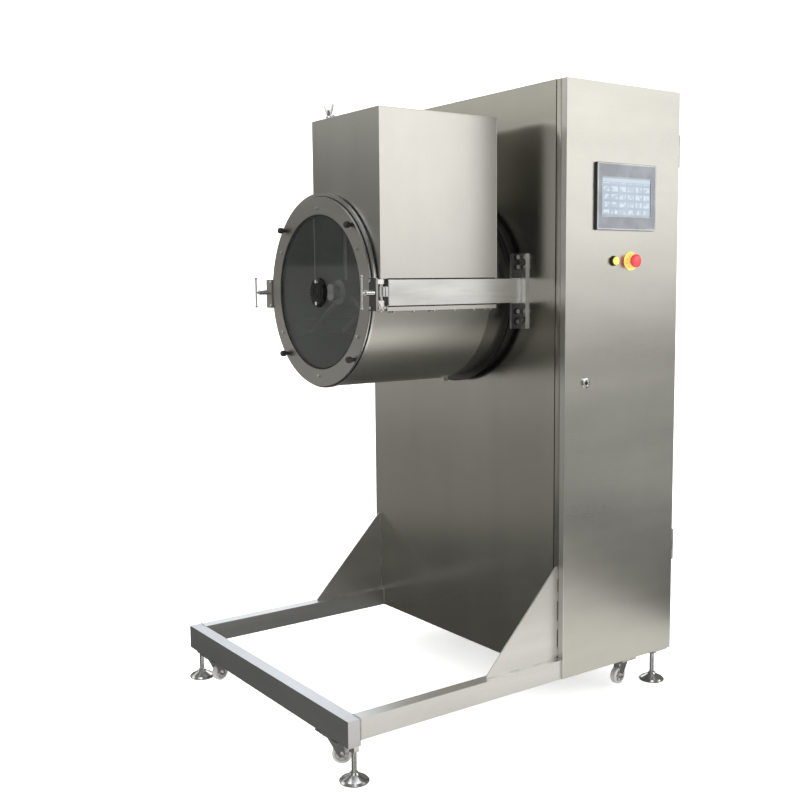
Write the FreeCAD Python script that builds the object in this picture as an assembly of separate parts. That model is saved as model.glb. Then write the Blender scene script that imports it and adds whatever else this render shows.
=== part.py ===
import FreeCAD, Part
import math
import os

# Batch drum machine for chocolate and nuts, standing on a base frame. Millimetres, +Z up.
# Pieces are drawn with x = 0 on the drum's axis, y = 0 on the cabinet's front, z = 0 on the floor.
# keep() then moves them all, so that the origin is the bottom centre of the bounding box.
V = FreeCAD.Vector
origin_x = 8.5
origin_y = -137
along_x = V(1, 0, 0)
along_y = V(0, 1, 0)
along_z = V(0, 0, 1)

# General clearances; past is how far a cutting piece runs beyond what it cuts
gap = 0.3
pin_clearance = 0.05
past = 1
everywhere = (-3000, 3000)

# Cabinet
cabinet_half_width = 505
cabinet_depth = 490
cabinet_bottom = 118
cabinet_top = 1918
sheet = 2
floor_sheet = 3
recess_depth = 20
front_panel_right = cabinet_half_width - 45
door_fold = 19
rear_panel_right = cabinet_half_width - door_fold - 2
post_size = 30
post_wall = 2
post_inset = 4
slot_columns = (-330, 90)
slot_length = 240
slot_radius = 4
slot_pitch = 24
slot_rows = 9
slot_starts = (320, 1560)
gland_radius = 10
gland_place = (105 - cabinet_half_width, 200)

# Base frame
rail_outer_x = cabinet_half_width - 6
rail_width = 40
rail_wall = 3
rail_bottom = cabinet_bottom
rail_top = rail_bottom + 60
front_rail_bottom = rail_bottom - 15
front_rail_y = -775
gusset_height = 290
gusset_length = 282
gusset_plate = 5
gusset_nose = 8
gusset_x = rail_outer_x - rail_width / 2

# Drum
drum_z = 1305
shell_radius = 286
shell_wall = 2
shell_front = -529
shell_rear = -104
seam_z = drum_z - 37
seam_strip = 15
shell_side = shell_radius - 16
wall_plate = 4
seal_radius = 45
seal_depth = 22
flange_thickness = 7
flange_front = shell_front - flange_thickness
flange_radius = shell_radius + 4
hood_radius = shell_radius + 12
flange_opening = shell_radius - 24
collar_radius = shell_radius - 6
collar_wall = 3
mount_disc_radius = shell_radius + 13
mount_disc_rear = -24
mount_disc_front = -30
mount_ring_wall = 4
shaft_hole = 60
latch_x = (75, 89)
latch_bottom = drum_z - shell_radius - 3
latch_height = 24

# Arms and their brackets
arm_inner = shell_radius + 14
arm_outer = arm_inner + 20
arm_bottom = seam_z
arm_top = arm_bottom + 73
arm_rear = -8
bracket_plate = 8
bracket_outer = arm_outer - 5
bracket_flange = 24
bracket_bottom = arm_bottom - 80
bracket_top = arm_top + 76
bracket_bolt_y = -22
bracket_bolt_z = (bracket_bottom + 22, bracket_bottom + 53, bracket_top - 40, bracket_top - 11)
flange_bolt_z = (bracket_bottom + 27, bracket_top - 27)
bolt_shank = 4
bolt_across = 13

# Box on the drum
box_left = -51
box_right = arm_inner + 9
box_front = -524
box_rear = -98
box_bottom = arm_top + 3
box_top = box_bottom + 475
lid_sheet = 2
lid_rim = 12
throat_x = (box_left + 5, box_right - 59)
wing_x = box_left + 60
wing_y = box_front + 24
wing_nut = (box_top - 33, box_top - 19)
lid_hinge_x = (box_left + 71, box_right - 71)
lid_hinge_y = box_rear + 5.5
lid_hinge_z = box_top - 3
lid_knuckle = 9
lid_knuckle_radius = 4.5
lid_pin = 2.5

# Hinge of the drum door
hinge_x = (arm_inner + arm_outer) / 2
hinge_y = shell_front + 5
hinge_pin_radius = 5
arm_front = hinge_y + 18
tongue_bottom = arm_bottom + 26
tongue_top = arm_top - 19
tongue_radius = 14
clevis_inner = shell_radius - 13
clevis_bottom = drum_z - 51
clevis_top = box_bottom + 2
clevis_web = 7
lower_ear_top = tongue_bottom - 11
upper_ear_bottom = tongue_top + 7
upper_ear_top = box_bottom - 2
ear_radius = 10
strip_screw_y = (arm_front + 16, arm_front + 157, shell_rear - 16)

# Drum door
ring_radius = shell_radius - gap
ring_front = flange_front - 8
ring_rear = flange_front - gap
glass_radius = flange_opening - 16.5
glass_front = ring_front + 3.7
glass_thickness = 6
ring_opening = glass_radius - 12.5
clamp_radius = flange_opening - 3
clamp_rear = ring_rear + 8
clevis_front = ring_front - 4
screw_circle = glass_radius + 6.5
screw_radius = 2.5
screw_end = clamp_rear - 2.7
knob_circle = flange_opening + 12
knob_angles = (45, 135, 225, 315)
stud_radius = 4
handle_x = hinge_x + 2
handle_reach = 42
handle_half = 45
hub_radius = 45
hub_depth = 8
hub_bolt_offset = 33

# Rotor and drive; the shaft's sprocket has twice the teeth of the motor's
shaft_radius = 25
shaft_front = shell_front + 29
shaft_rear = 240
chain_pitch = 25.4
chain_links = 54
rotor_teeth = 28
motor_teeth = 14
sprocket_y = 120
sprocket_width = 12
tooth_tip = 6
tooth_root = 8
hub_wall = 12
hub_reach = 8
rotor_hub_radius = 38
rotor_hub_y = (shaft_front + 30, shell_rear - 46)
spoke_y = (shaft_front + 60, shaft_front + 190, shaft_front + 320)
spoke_radius = 9
blade_outer = shell_radius - 18
blade_y = (shell_front + 14, shell_rear - 16)
blade_angles = (90, 210, 330)
bearing_bar = 40
bearing_bar_offset = 115
bearing_plate_half = 150
bearing_plate = 10
second_bearing_y = 180
stay_offset = 125
housing_radius = 75
motor_shelf_drop = 118
shelf_plate = 8
motor_shaft = 16
gearbox_y = (170, 300)
motor_rear = cabinet_depth - 35
motor_radius = 68

# Side door
door_x = cabinet_half_width
door_strip = 21
door_hinge_x = cabinet_half_width - 7
door_hinge_y = cabinet_depth + 6
door_hinge_radius = 6
door_hinge_pin = 3
door_hinge_heights = (cabinet_top - 181, cabinet_bottom + 349)
door_hinge_length = 100
door_leaf = 3
button_z = 1392
push_y = 200
stop_y = 274
button_hole = 11
button_bore = 9
lock_y = 85
lock_z = 1026
lock_hole = 9
lock_core = 6
keeper_x = door_x - 14
keeper_half = 18
keeper_lip = 21

# Touch screen
hmi_y = (118, 375)
hmi_z = (1484, 1684)
hmi_lip = 12
bezel_out = 9
screen_sides = (22, 24)
screen_ends = (41, 43)
screen_sunk = 1.5

# Casters: swivel axis, what carries each, and the way its wheel trails as parked
fork_top = front_rail_bottom - 6
wheel_radius = 27.5
wheel_width = 20
wheel_z = fork_top - 52.5
caster_trail = 20
cheek = 2.5
axle_radius = 4
caster_places = {
    "front_left": (131 - rail_outer_x, front_rail_y + 28, front_rail_bottom, 105),
    "front_right": (rail_outer_x - 115, front_rail_y + 28, front_rail_bottom, 55),
    "rear_left": (65 - cabinet_half_width, cabinet_depth - 165, cabinet_bottom, -60),
    "rear_right": (cabinet_half_width - 65, cabinet_depth - 160, cabinet_bottom, -85),
}
plate_sheet = 3
riser_wall = 4

# Levelling feet: stem axis and what each screws into
foot_pad = 8
foot_stem_radius = 7
foot_stem_above = 10
nut_height = 18
nut_across = 27
foot_places = (
    (20 - rail_outer_x, front_rail_y + 30, front_rail_bottom),
    (rail_outer_x - 20, front_rail_y + 30, front_rail_bottom),
    (50 - cabinet_half_width, cabinet_depth - 30, cabinet_bottom),
    (cabinet_half_width - 50, cabinet_depth - 30, cabinet_bottom),
)


def pitch_radius(teeth):
    return chain_pitch / 2 / math.sin(math.pi / teeth)


# The chain's length in links sets how far the motor's shaft lies below the drum's
free_links = chain_links - (rotor_teeth + motor_teeth) / 2
tooth_share = (rotor_teeth - motor_teeth) / (2 * math.pi)
sprocket_distance = chain_pitch / 4 * (free_links + math.sqrt(free_links ** 2 - 8 * tooth_share ** 2))
motor_z = drum_z - sprocket_distance
motor_shelf_z = motor_z - motor_shelf_drop


def keep(shape, name):
    shape = shape.copy()
    shape.translate(V(-origin_x, -origin_y, 0))
    shape.exportStep("parts/" + name + ".step")


def keep_all(shapes, name):
    keep(Part.makeCompound(shapes), name)


def block(x, y, z):
    # A box between three pairs of low and high values
    return Part.makeBox(x[1] - x[0], y[1] - y[0], z[1] - z[0], V(x[0], y[0], z[0]))


def rod(radius, low, high, axis, across=(0, 0)):
    # A cylinder from low to high along an axis; across gives its two other coordinates in order
    a, b = across
    start = {"x": V(low, a, b), "y": V(a, low, b), "z": V(a, b, low)}[axis]
    way = {"x": along_x, "y": along_y, "z": along_z}[axis]
    return Part.makeCylinder(radius, high - low, start, way)


def bore(radius, low, high, axis, across=(0, 0)):
    # What a drill takes out between two faces, run past both
    return rod(radius, low - past, high + past, axis, across)


def drum_disc(radius, front, rear):
    return rod(radius, front, rear, "y", (0, drum_z))


def drum_ring(outer, inner, front, rear):
    return drum_disc(outer, front, rear).cut(drum_disc(inner, front - past, rear + past))


def on_circle(radius, degrees):
    # x and z of a point round the drum's axis, 0 degrees at the right, 90 at the top
    angle = math.radians(degrees)
    return radius * math.cos(angle), drum_z + radius * math.sin(angle)


def mirrored(shape):
    return shape.mirror(V(0, 0, 0), along_x)


def both_sides(shape):
    return Part.makeCompound([shape, mirrored(shape)])


def bar(x, y, z, wall, axis):
    # Rectangular tube along an axis, open at both ends
    inside = [(x[0] + wall, x[1] - wall), (y[0] + wall, y[1] - wall), (z[0] + wall, z[1] - wall)]
    run = "xyz".index(axis)
    inside[run] = ((x, y, z)[run][0] - past, (x, y, z)[run][1] + past)
    return block(x, y, z).cut(block(*inside))


def hexagon(across, low, high, axis, place):
    # Hexagonal nut or bolt head, measured across its flats
    points = []
    for step in range(7):
        angle = math.radians(60 * step + 30)
        a = place[0] + across / math.sqrt(3) * math.cos(angle)
        b = place[1] + across / math.sqrt(3) * math.sin(angle)
        points.append({"x": V(low, a, b), "y": V(a, low, b), "z": V(a, b, low)}[axis])
    way = {"x": along_x, "y": along_y, "z": along_z}[axis]
    return Part.Face(Part.makePolygon(points)).extrude(way * (high - low))


def plate_yz(points, x_low, x_high):
    corners = [V(x_low, y, z) for y, z in points + points[:1]]
    return Part.Face(Part.makePolygon(corners)).extrude(V(x_high - x_low, 0, 0))


def turned(points, place, axis="z"):
    # Body of revolution from (radius, height) points; the heights run along the axis, "-y" against it
    outline = [V(r, 0, h) for r, h in points + points[:1]]
    solid = Part.Face(Part.makePolygon(outline)).revolve(V(0, 0, 0), along_z, 360)
    if axis == "y":
        solid.rotate(V(0, 0, 0), along_x, -90)
    if axis == "-y":
        solid.rotate(V(0, 0, 0), along_x, 90)
    if axis == "x":
        solid.rotate(V(0, 0, 0), along_y, 90)
    solid.translate(V(*place))
    return solid


# Base frame

def base_frame():
    front = bar((-rail_outer_x, rail_outer_x), (front_rail_y, front_rail_y + rail_width),
                (front_rail_bottom, rail_top), rail_wall, "x")
    cap_y = (front_rail_y + rail_wall, front_rail_y + rail_width - rail_wall)
    cap_z = (front_rail_bottom + rail_wall, rail_top - rail_wall)
    for x in ((-rail_outer_x, -rail_outer_x + rail_wall), (rail_outer_x - rail_wall, rail_outer_x)):
        front = front.fuse(block(x, cap_y, cap_z))
    for x, y, under in foot_places:
        if y < 0:
            front = front.cut(bore(foot_stem_radius + gap, under, under + rail_wall, "z", (x, y)))
    side = bar((rail_outer_x - rail_width, rail_outer_x), (front_rail_y + rail_width, 0),
               (rail_bottom, rail_top), rail_wall, "y")
    outline = [(-gusset_length, rail_top), (-gusset_length, rail_top + gusset_nose),
               (-gusset_nose, rail_top + gusset_height), (0, rail_top + gusset_height), (0, rail_top)]
    gusset = plate_yz(outline, gusset_x - gusset_plate / 2, gusset_x + gusset_plate / 2)
    keep(front.removeSplitter(), "base_front_rail")
    keep(both_sides(side), "base_side_rails")
    keep(both_sides(gusset), "gusset_plates")


def levelling_feet():
    cup = [(0, 0), (40, 0), (41, 3), (36, 8), (14, 20), (11, 26), (foot_stem_radius, 28)]
    solids = []
    for x, y, under in foot_places:
        if y > 0:
            under -= foot_pad
        outline = cup + [(foot_stem_radius, under + foot_stem_above), (0, under + foot_stem_above)]
        nut = hexagon(nut_across, under - nut_height, under, "z", (x, y))
        nut = nut.cut(bore(foot_stem_radius, under - nut_height, under, "z", (x, y)))
        solids += [turned(outline, (x, y, 0)), nut]
    keep_all(solids, "levelling_feet")


def caster_plates():
    # Mounting plates under the rails; at the rear a channel makes up the height, and the foot has a plate too
    plate_half, block_half, channel_half, deep = 60, 30, 34, 28
    top = fork_top + plate_sheet
    solids = []
    for x, y, under, way in caster_places.values():
        if y < 0:
            plate = block((x - plate_half, x + plate_half), (y - deep, y + deep), (fork_top, top))
            solids.append(plate.fuse(block((x - block_half, x + block_half), (y - deep, y + deep), (top, under))))
        else:
            wide_x, wide_y = (x - channel_half, x + channel_half), (y - deep - 4, y + deep + 4)
            channel = bar(wide_x, wide_y, (top, under), riser_wall, "y")
            solids.append(channel.fuse(block(wide_x, wide_y, (fork_top, top))))
    for x, y, under in foot_places:
        if y > 0:
            pad = block((x - 40, x + 40), (y - deep, y + deep), (under - foot_pad, under))
            solids.append(pad.cut(bore(foot_stem_radius + gap, under - foot_pad, under, "z", (x, y))))
    keep_all([solid.removeSplitter() for solid in solids], "caster_plates")


def caster_fork(x, y):
    # Swivel race, crown and two cheeks, drawn trailing towards -y
    inner_half = wheel_width / 2 + 1
    outer_half = inner_half + cheek
    race_top = fork_top - gap
    crown_top = race_top - 7
    axle_y = y - caster_trail
    front, rear = y - 20, y + 17
    fork = rod(20, crown_top, race_top, "z", (x, y))
    fork = fork.fuse(block((x - outer_half, x + outer_half), (front, rear), (crown_top - cheek, crown_top)))
    low = wheel_z - 9
    outline = [(front, crown_top), (rear, crown_top), (axle_y + 10, wheel_z - 4), (axle_y + 4, low),
               (axle_y - 4, low), (axle_y - 10, wheel_z)]
    for side in (-1, 1):
        inner, outer = sorted((side * inner_half, side * outer_half))
        fork = fork.fuse(plate_yz(outline, x + inner, x + outer))
    axle = rod(axle_radius, x - outer_half - 3, x + outer_half + 3, "x", (axle_y, wheel_z))
    return fork.fuse(axle).removeSplitter()


def caster_wheel(x, y):
    # Rounded tread with a dished web on both sides of the hub
    place = (y - caster_trail, wheel_z)
    half = wheel_width / 2
    wheel = rod(wheel_radius, x - half, x + half, "x", place)
    wheel = wheel.makeFillet(3, wheel.Edges)
    for side in (-1, 1):
        dish = sorted((x + side * (half - 4), x + side * (half + past)))
        wheel = wheel.cut(rod(20, dish[0], dish[1], "x", place).cut(rod(9, dish[0], dish[1], "x", place)))
    return wheel.cut(bore(axle_radius + pin_clearance, x - half, x + half, "x", place))


def casters():
    for name, (x, y, under, way) in caster_places.items():
        for kind, piece in (("fork", caster_fork(x, y)), ("wheel", caster_wheel(x, y))):
            piece.rotate(V(x, y, 0), along_z, way + 90)
            keep(piece, "caster_" + kind + "_" + name)


# Cabinet

def cabinet_panels():
    left = -cabinet_half_width
    height = (cabinet_bottom, cabinet_top)
    front = block((left, front_panel_right), (0, sheet), height)
    fold = block((front_panel_right - sheet, front_panel_right), (0, recess_depth + sheet), height)
    front = front.fuse(fold).cut(bore(shaft_hole, 0, sheet, "y", (0, drum_z)))
    keep(front.removeSplitter(), "cabinet_front_panel")

    side = block((left, left + sheet), (sheet, cabinet_depth - sheet), height)
    keep(side, "cabinet_left_panel")

    rear = block((left, rear_panel_right), (cabinet_depth - sheet, cabinet_depth), height)
    rear = rear.cut(vent_slots())
    rear = rear.cut(bore(gland_radius, cabinet_depth - sheet, cabinet_depth, "y", gland_place))
    keep(rear, "cabinet_rear_panel")

    inner_x = (left + sheet, cabinet_half_width - sheet - gap)
    inner_y = (sheet, cabinet_depth - sheet)
    top = block(inner_x, inner_y, (cabinet_top - sheet, cabinet_top))
    floor = block(inner_x, inner_y, (cabinet_bottom, cabinet_bottom + floor_sheet))
    corner = block((front_panel_right - sheet, cabinet_half_width), (0, recess_depth + sheet), everywhere)
    for x, y, under in foot_places:
        if y > 0:
            floor = floor.cut(bore(foot_stem_radius + gap, under, under + floor_sheet, "z", (x, y)))
    keep_all([top.cut(corner), floor.cut(corner)], "cabinet_end_panels")


def vent_slots():
    low, high = cabinet_depth - sheet - past, cabinet_depth + past
    slots = []
    for column in slot_columns:
        ends = (column + slot_radius, column + slot_length - slot_radius)
        for row in range(slot_rows):
            for start in slot_starts:
                z = start + slot_pitch * row
                slot = block(ends, (low, high), (z - slot_radius, z + slot_radius))
                slots.append(slot.fuse([rod(slot_radius, low, high, "y", (x, z)) for x in ends]))
    return slots


def post_places():
    left = -cabinet_half_width + sheet
    rear = cabinet_depth - sheet - post_size
    right = front_panel_right - post_inset
    return [(left, sheet), (left, rear), (right, recess_depth + sheet), (rear_panel_right - post_size, rear)]


def cabinet_frame():
    # Four posts, two bars that carry the bearings and two that carry the motor's shelf
    low, high = cabinet_bottom + floor_sheet, cabinet_top - sheet
    places = post_places()
    solids = [bar((x, x + post_size), (y, y + post_size), (low, high), post_wall, "z") for x, y in places]
    span = (places[0][0] + post_size, places[2][0])
    for side in (-1, 1):
        middle = drum_z + side * bearing_bar_offset
        solids.append(bar(span, (sheet, sheet + bearing_bar),
                          (middle - bearing_bar / 2, middle + bearing_bar / 2), rail_wall, "x"))
    rear_span = (places[1][0] + post_size, places[3][0])
    for x, y in ((span, places[2][1]), (rear_span, places[3][1])):
        solids.append(bar(x, (y, y + post_size), (motor_shelf_z - bearing_bar, motor_shelf_z), rail_wall, "x"))
    keep_all(solids, "cabinet_frame")


def lock_keeper():
    # Bent plate on the front right post, which the side door's cam turns behind
    post_x, post_y = post_places()[2]
    face = post_y + post_size
    height = (lock_z - keeper_half, lock_z + keeper_half)
    web = block((post_x + post_size, keeper_x + sheet), (face - 6, face - 3), height)
    lip = block((keeper_x, keeper_x + sheet), (face - 3, face - 3 + keeper_lip), height)
    keep(web.fuse(lip).removeSplitter(), "lock_keeper")


def side_door():
    low, high = cabinet_bottom + 1, cabinet_top - 1
    height = (low, high)
    skin = block((door_x - sheet, door_x), (0, cabinet_depth), height)
    fold = door_x - door_strip
    skin = skin.fuse(block((fold, door_x), (0, sheet), height))
    skin = skin.fuse(block((fold, fold + sheet), (0, recess_depth - 1), height))
    inside = (cabinet_bottom + floor_sheet + gap, cabinet_top - sheet - gap)
    skin = skin.fuse(block((door_x - door_fold, door_x), (cabinet_depth - sheet, cabinet_depth), inside))
    skin = skin.cut(block((door_x - sheet - past, door_x + past), inset(hmi_y, hmi_lip), inset(hmi_z, hmi_lip)))
    for radius, place in ((button_hole, (push_y, button_z)), (button_hole, (stop_y, button_z)),
                          (lock_hole, (lock_y, lock_z))):
        skin = skin.cut(bore(radius, door_x - sheet, door_x, "x", place))
    axis = (door_hinge_x, door_hinge_y)
    third = door_hinge_length / 6 - gap
    for z in door_hinge_heights:
        span = (z - third, z + third)
        knuckle = rod(door_hinge_radius, span[0], span[1], "z", axis)
        leaf = block((door_hinge_x, door_x), (cabinet_depth, cabinet_depth + door_leaf), span)
        skin = skin.fuse(knuckle.fuse(leaf).cut(bore(door_hinge_pin + pin_clearance, span[0], span[1], "z", axis)))
    keep(skin.removeSplitter(), "side_door")


def side_door_hinges():
    # The fixed leaves, bent clear of the door's rear fold
    axis = (door_hinge_x, door_hinge_y)
    fold_room = block((door_x - door_fold - gap, door_x + past), (cabinet_depth - sheet - gap, cabinet_depth + gap),
                      everywhere)
    solids = []
    for z in door_hinge_heights:
        for side in (-1, 1):
            span = sorted((z + side * door_hinge_length / 6, z + side * door_hinge_length / 2))
            knuckle = rod(door_hinge_radius, span[0], span[1], "z", axis)
            leaf = block((rear_panel_right - 34, door_hinge_x), (cabinet_depth, cabinet_depth + door_leaf), span)
            leaf = leaf.cut(block((rear_panel_right, door_hinge_x - door_hinge_radius / 2),
                                  (cabinet_depth - past, cabinet_depth + gap), span))
            leaf = knuckle.fuse(leaf).cut(bore(door_hinge_pin, span[0], span[1], "z", axis))
            solids.append(leaf.cut(fold_room).removeSplitter())
    keep_all(solids, "side_door_hinges")


def inset(span, lip):
    return span[0] + lip, span[1] - lip


def hmi():
    front = door_x + bezel_out
    frame = block((door_x, front), hmi_y, hmi_z)
    frame = frame.makeFillet(4, [e for e in frame.Edges if abs(e.CenterOfMass.x - door_x) > 1 and e.Length < 12])
    body = block((door_x - 34, door_x), inset(hmi_y, hmi_lip + 1), inset(hmi_z, hmi_lip + 1))
    y = (hmi_y[0] + screen_sides[0], hmi_y[1] - screen_sides[1])
    z = (hmi_z[0] + screen_ends[0], hmi_z[1] - screen_ends[1])
    window = block((door_x + 4, front + past), y, z)
    keep(frame.fuse(body).cut(window).removeSplitter(), "hmi_bezel")
    keep(block((door_x + 4, front - screen_sunk), y, z), "hmi_screen")


def collar(steps, hole, place):
    # Stepped ring on the side door: each step is (radius, from, to), measured outwards from the door's face
    solid = None
    for radius, low, high in steps:
        piece = rod(radius, door_x + low, door_x + high, "x", place)
        solid = solid.fuse(piece) if solid else piece
    back, front = min(step[1] for step in steps), max(step[2] for step in steps)
    depth = max(back, -12)
    return solid.cut(rod(hole, door_x + depth - past * (depth == back), door_x + front + past, "x", place))


def buttons():
    push_place, stop_place, lock_place = (push_y, button_z), (stop_y, button_z), (lock_y, lock_z)
    barrel = button_hole - gap
    keep_all([collar([(barrel, -22, 0), (14.5, 0, 5)], button_bore, push_place),
              collar([(barrel, -26, 0), (21, 0, 3), (14, 3, 11)], button_bore, stop_place),
              collar([(lock_hole - 0.2, -10, 0), (13, 0, 4)], lock_core, lock_place)], "button_collars")

    push = rod(button_bore - gap, door_x - 6, door_x + 9, "x", push_place)
    keep(push.makeFillet(1.5, [push.Edges[0]]), "push_button")

    head = turned([(0, 0), (17, 0), (20, 3), (20, 9), (15, 13), (0, 15)], (door_x + 17, stop_y, button_z), "x")
    keep(head.fuse(rod(button_bore - gap, door_x - 6, door_x + 17, "x", stop_place)), "stop_button")

    core = rod(lock_core - gap, keeper_x - 3, door_x + 3.5, "x", lock_place)
    core = core.fuse(rod(8, keeper_x - 5, keeper_x - 1, "x", lock_place))
    tip = block((keeper_x - 4, keeper_x - 1), (lock_y - 25, lock_y), (lock_z - 8, lock_z + 8))
    square = block((door_x, door_x + 4), (lock_y - 3, lock_y + 3), (lock_z - 3, lock_z + 3))
    keep(core.fuse(tip).cut(square).removeSplitter(), "lock_cam")


# Drum body

def drum_mount():
    spacer = drum_ring(mount_disc_radius - 14, mount_disc_radius - 14 - mount_ring_wall, mount_disc_rear, 0)
    sleeve = drum_ring(shaft_hole + mount_ring_wall, shaft_hole, mount_disc_rear, 0)
    disc = drum_ring(mount_disc_radius, shaft_hole, mount_disc_front, mount_disc_rear)
    rim = drum_ring(collar_radius, collar_radius - collar_wall, shell_rear + wall_plate, mount_disc_front)
    keep(disc.fuse([spacer, sleeve, rim]).removeSplitter(), "rear_collar")

    rear = shell_rear + wall_plate
    upper = drum_disc(shell_radius - shell_wall, shell_rear, rear)
    lower = drum_disc(shell_radius, shell_rear, rear).common(block(everywhere, everywhere, (0, seam_z)))
    seal = drum_disc(seal_radius, shell_rear, shell_rear + seal_depth)
    wall = upper.fuse([lower, seal]).cut(drum_disc(shaft_radius + gap, shell_rear - past, 0))
    keep(wall.removeSplitter(), "drum_rear_wall")


def shell(front, rear, z):
    ring = drum_ring(shell_radius, shell_radius - shell_wall, front, rear)
    return ring.common(block(everywhere, everywhere, z))


def drum_shells():
    lower = shell(shell_front, shell_rear, (0, seam_z))
    strip = block((shell_side, arm_inner + 14), (arm_front, shell_rear), (seam_z - seam_strip, seam_z))
    strip = strip.cut(drum_disc(shell_radius - shell_wall / 2, arm_front - past, shell_rear + past))
    latch = block(latch_x, (shell_rear - 29, shell_rear - 12), (latch_bottom, latch_bottom + latch_height))
    latch = latch.cut(drum_disc(shell_radius - shell_wall / 2, shell_front, shell_rear))
    latch = latch.cut(bore(4, latch_x[0], latch_x[1], "x", (shell_rear - 24, latch_bottom + 6)))
    keep(lower.fuse([strip, mirrored(strip), latch]).removeSplitter(), "lower_shell")

    upper = shell(shell_front, box_rear, (seam_z, box_top))
    upper = upper.cut(block(throat_x, (box_front + 9, box_rear - 12), (drum_z, box_top)))
    spacer = block((shell_side, arm_inner), (arm_front + 26, shell_rear - 26), (drum_z - 15, drum_z + 15))
    spacer = spacer.cut(drum_disc(shell_radius - shell_wall / 2, shell_front, shell_rear))
    keep(upper.fuse([spacer, mirrored(spacer)]).removeSplitter(), "upper_shell")


def front_flange():
    # Turned ring with a wider hood under the box and a boss behind each star knob
    ring = drum_disc(flange_radius, flange_front, shell_front)
    hood = drum_disc(hood_radius, flange_front, shell_front)
    ring = ring.fuse(hood.common(block(everywhere, everywhere, (box_bottom, box_top))))
    ring = ring.cut(drum_disc(flange_opening, flange_front - past, shell_front + past))
    boss_end = shell_front + 8
    places = [on_circle(knob_circle, degrees) for degrees in knob_angles]
    ring = ring.fuse([rod(9, shell_front, boss_end, "y", place) for place in places])
    ring = ring.cut([bore(stud_radius + 1.2, flange_front, boss_end, "y", place) for place in places])
    keep(ring.removeSplitter(), "front_flange")


# Box on the drum

def lid_knuckles(x, low, high, leaf_y, leaf_z, hole):
    # Part of a lid hinge's barrel, with the leaf that carries it
    span = sorted((x + low, x + high))
    axis = (lid_hinge_y, lid_hinge_z)
    knuckle = rod(lid_knuckle_radius, span[0], span[1], "x", axis)
    return knuckle.fuse(block(span, leaf_y, leaf_z)).cut(bore(hole, span[0], span[1], "x", axis))


def feed_box():
    walls_top = box_top - lid_sheet - gap
    walls = block((box_left, box_right), (box_front, box_rear), (box_bottom, walls_top))
    walls = walls.cut(block((box_left + sheet, box_right - sheet), (box_front + sheet, box_rear - sheet),
                            (box_bottom - past, box_top)))
    sill = block((shell_side, box_right), (box_front, box_rear), (box_bottom, box_bottom + sheet))
    foot = block((arm_inner + 1, box_right - 6), (box_front + 20, box_rear - 6), (arm_top, box_bottom))
    walls = walls.fuse([sill, foot]).cut(drum_disc(shell_radius, box_front - past, box_rear + past))
    nut = block((wing_x - 12, wing_x + 12), (box_front + sheet, wing_y + 12), wing_nut)
    walls = walls.fuse(nut).cut(bore(stud_radius + 1, wing_nut[0], wing_nut[1], "z", (wing_x, wing_y)))
    for x in lid_hinge_x:
        for side in (-1, 1):
            walls = walls.fuse(lid_knuckles(x, side * lid_knuckle, side * 3 * lid_knuckle,
                                            (box_rear, box_rear + 2), (lid_hinge_z - 24, lid_hinge_z), lid_pin))
    keep(walls.removeSplitter(), "feed_box")


def box_lid():
    low = box_top - lid_sheet
    lid = block((box_left, box_right), (box_front, box_rear), (low, box_top))
    rim = block((box_left + 5, box_right - 5), (box_front + 5, box_rear - 5), (low - lid_rim, low))
    rim = rim.cut(block((box_left + 7, box_right - 7), (box_front + 7, box_rear - 7), (low - lid_rim - past, low)))
    lid = lid.fuse(rim).cut(bore(stud_radius + gap, low, box_top, "z", (wing_x, wing_y)))
    for x in lid_hinge_x:
        half = lid_knuckle - gap
        lid = lid.fuse(lid_knuckles(x, -half, half, (box_rear - past, lid_hinge_y), (low, box_top),
                                    lid_pin + pin_clearance))
    stop = (wing_x + 26, wing_y)
    lid = lid.fuse([rod(5, box_top + 1, box_top + 9, "z", stop), rod(3, box_top, box_top + 12, "z", stop)])
    keep(lid.removeSplitter(), "box_lid")


def wing_screw():
    hub = turned([(0, 0), (10, 0), (10, 6), (8, 10), (7, 22), (6, 28), (0, 28)], (wing_x, wing_y, box_top + gap))
    pieces = [rod(stud_radius, wing_nut[0] + 4, box_top + 2, "z", (wing_x, wing_y))]
    outline = [(4, 12), (7, 24), (20, 44), (25, 46), (26, 40), (14, 15)]
    for side in (-1, 1):
        corners = [V(wing_x + side * x, wing_y - 2.5, box_top + z) for x, z in outline + outline[:1]]
        pieces.append(Part.Face(Part.makePolygon(corners)).extrude(V(0, 5, 0)))
    keep(hub.fuse(pieces).removeSplitter(), "wing_screw")


# Arms and their brackets

def arms():
    x, z = (arm_inner, arm_outer), (arm_bottom, arm_top)
    tube = bar(x, (arm_front, arm_rear), z, rail_wall, "y")
    plug = block(x, (arm_front, arm_front + 6), z)
    tongue = block(x, (hinge_y, arm_front), (tongue_bottom, tongue_top))
    nose = rod(tongue_radius, tongue_bottom, tongue_top, "z", (hinge_x, hinge_y))
    nose = nose.common(block((arm_inner, arm_outer + tongue_radius), everywhere, everywhere))
    arm = tube.fuse([plug, tongue, nose]).removeSplitter()
    right = arm.cut(bore(hinge_pin_radius, tongue_bottom, tongue_top, "z", (hinge_x, hinge_y)))
    left = mirrored(arm).cut(rod(stud_radius + 0.8, hinge_y - 2 * tongue_radius, hinge_y - 3, "y",
                                 (-handle_x, drum_z)))
    keep_all([left, right], "drum_arms")


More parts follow.
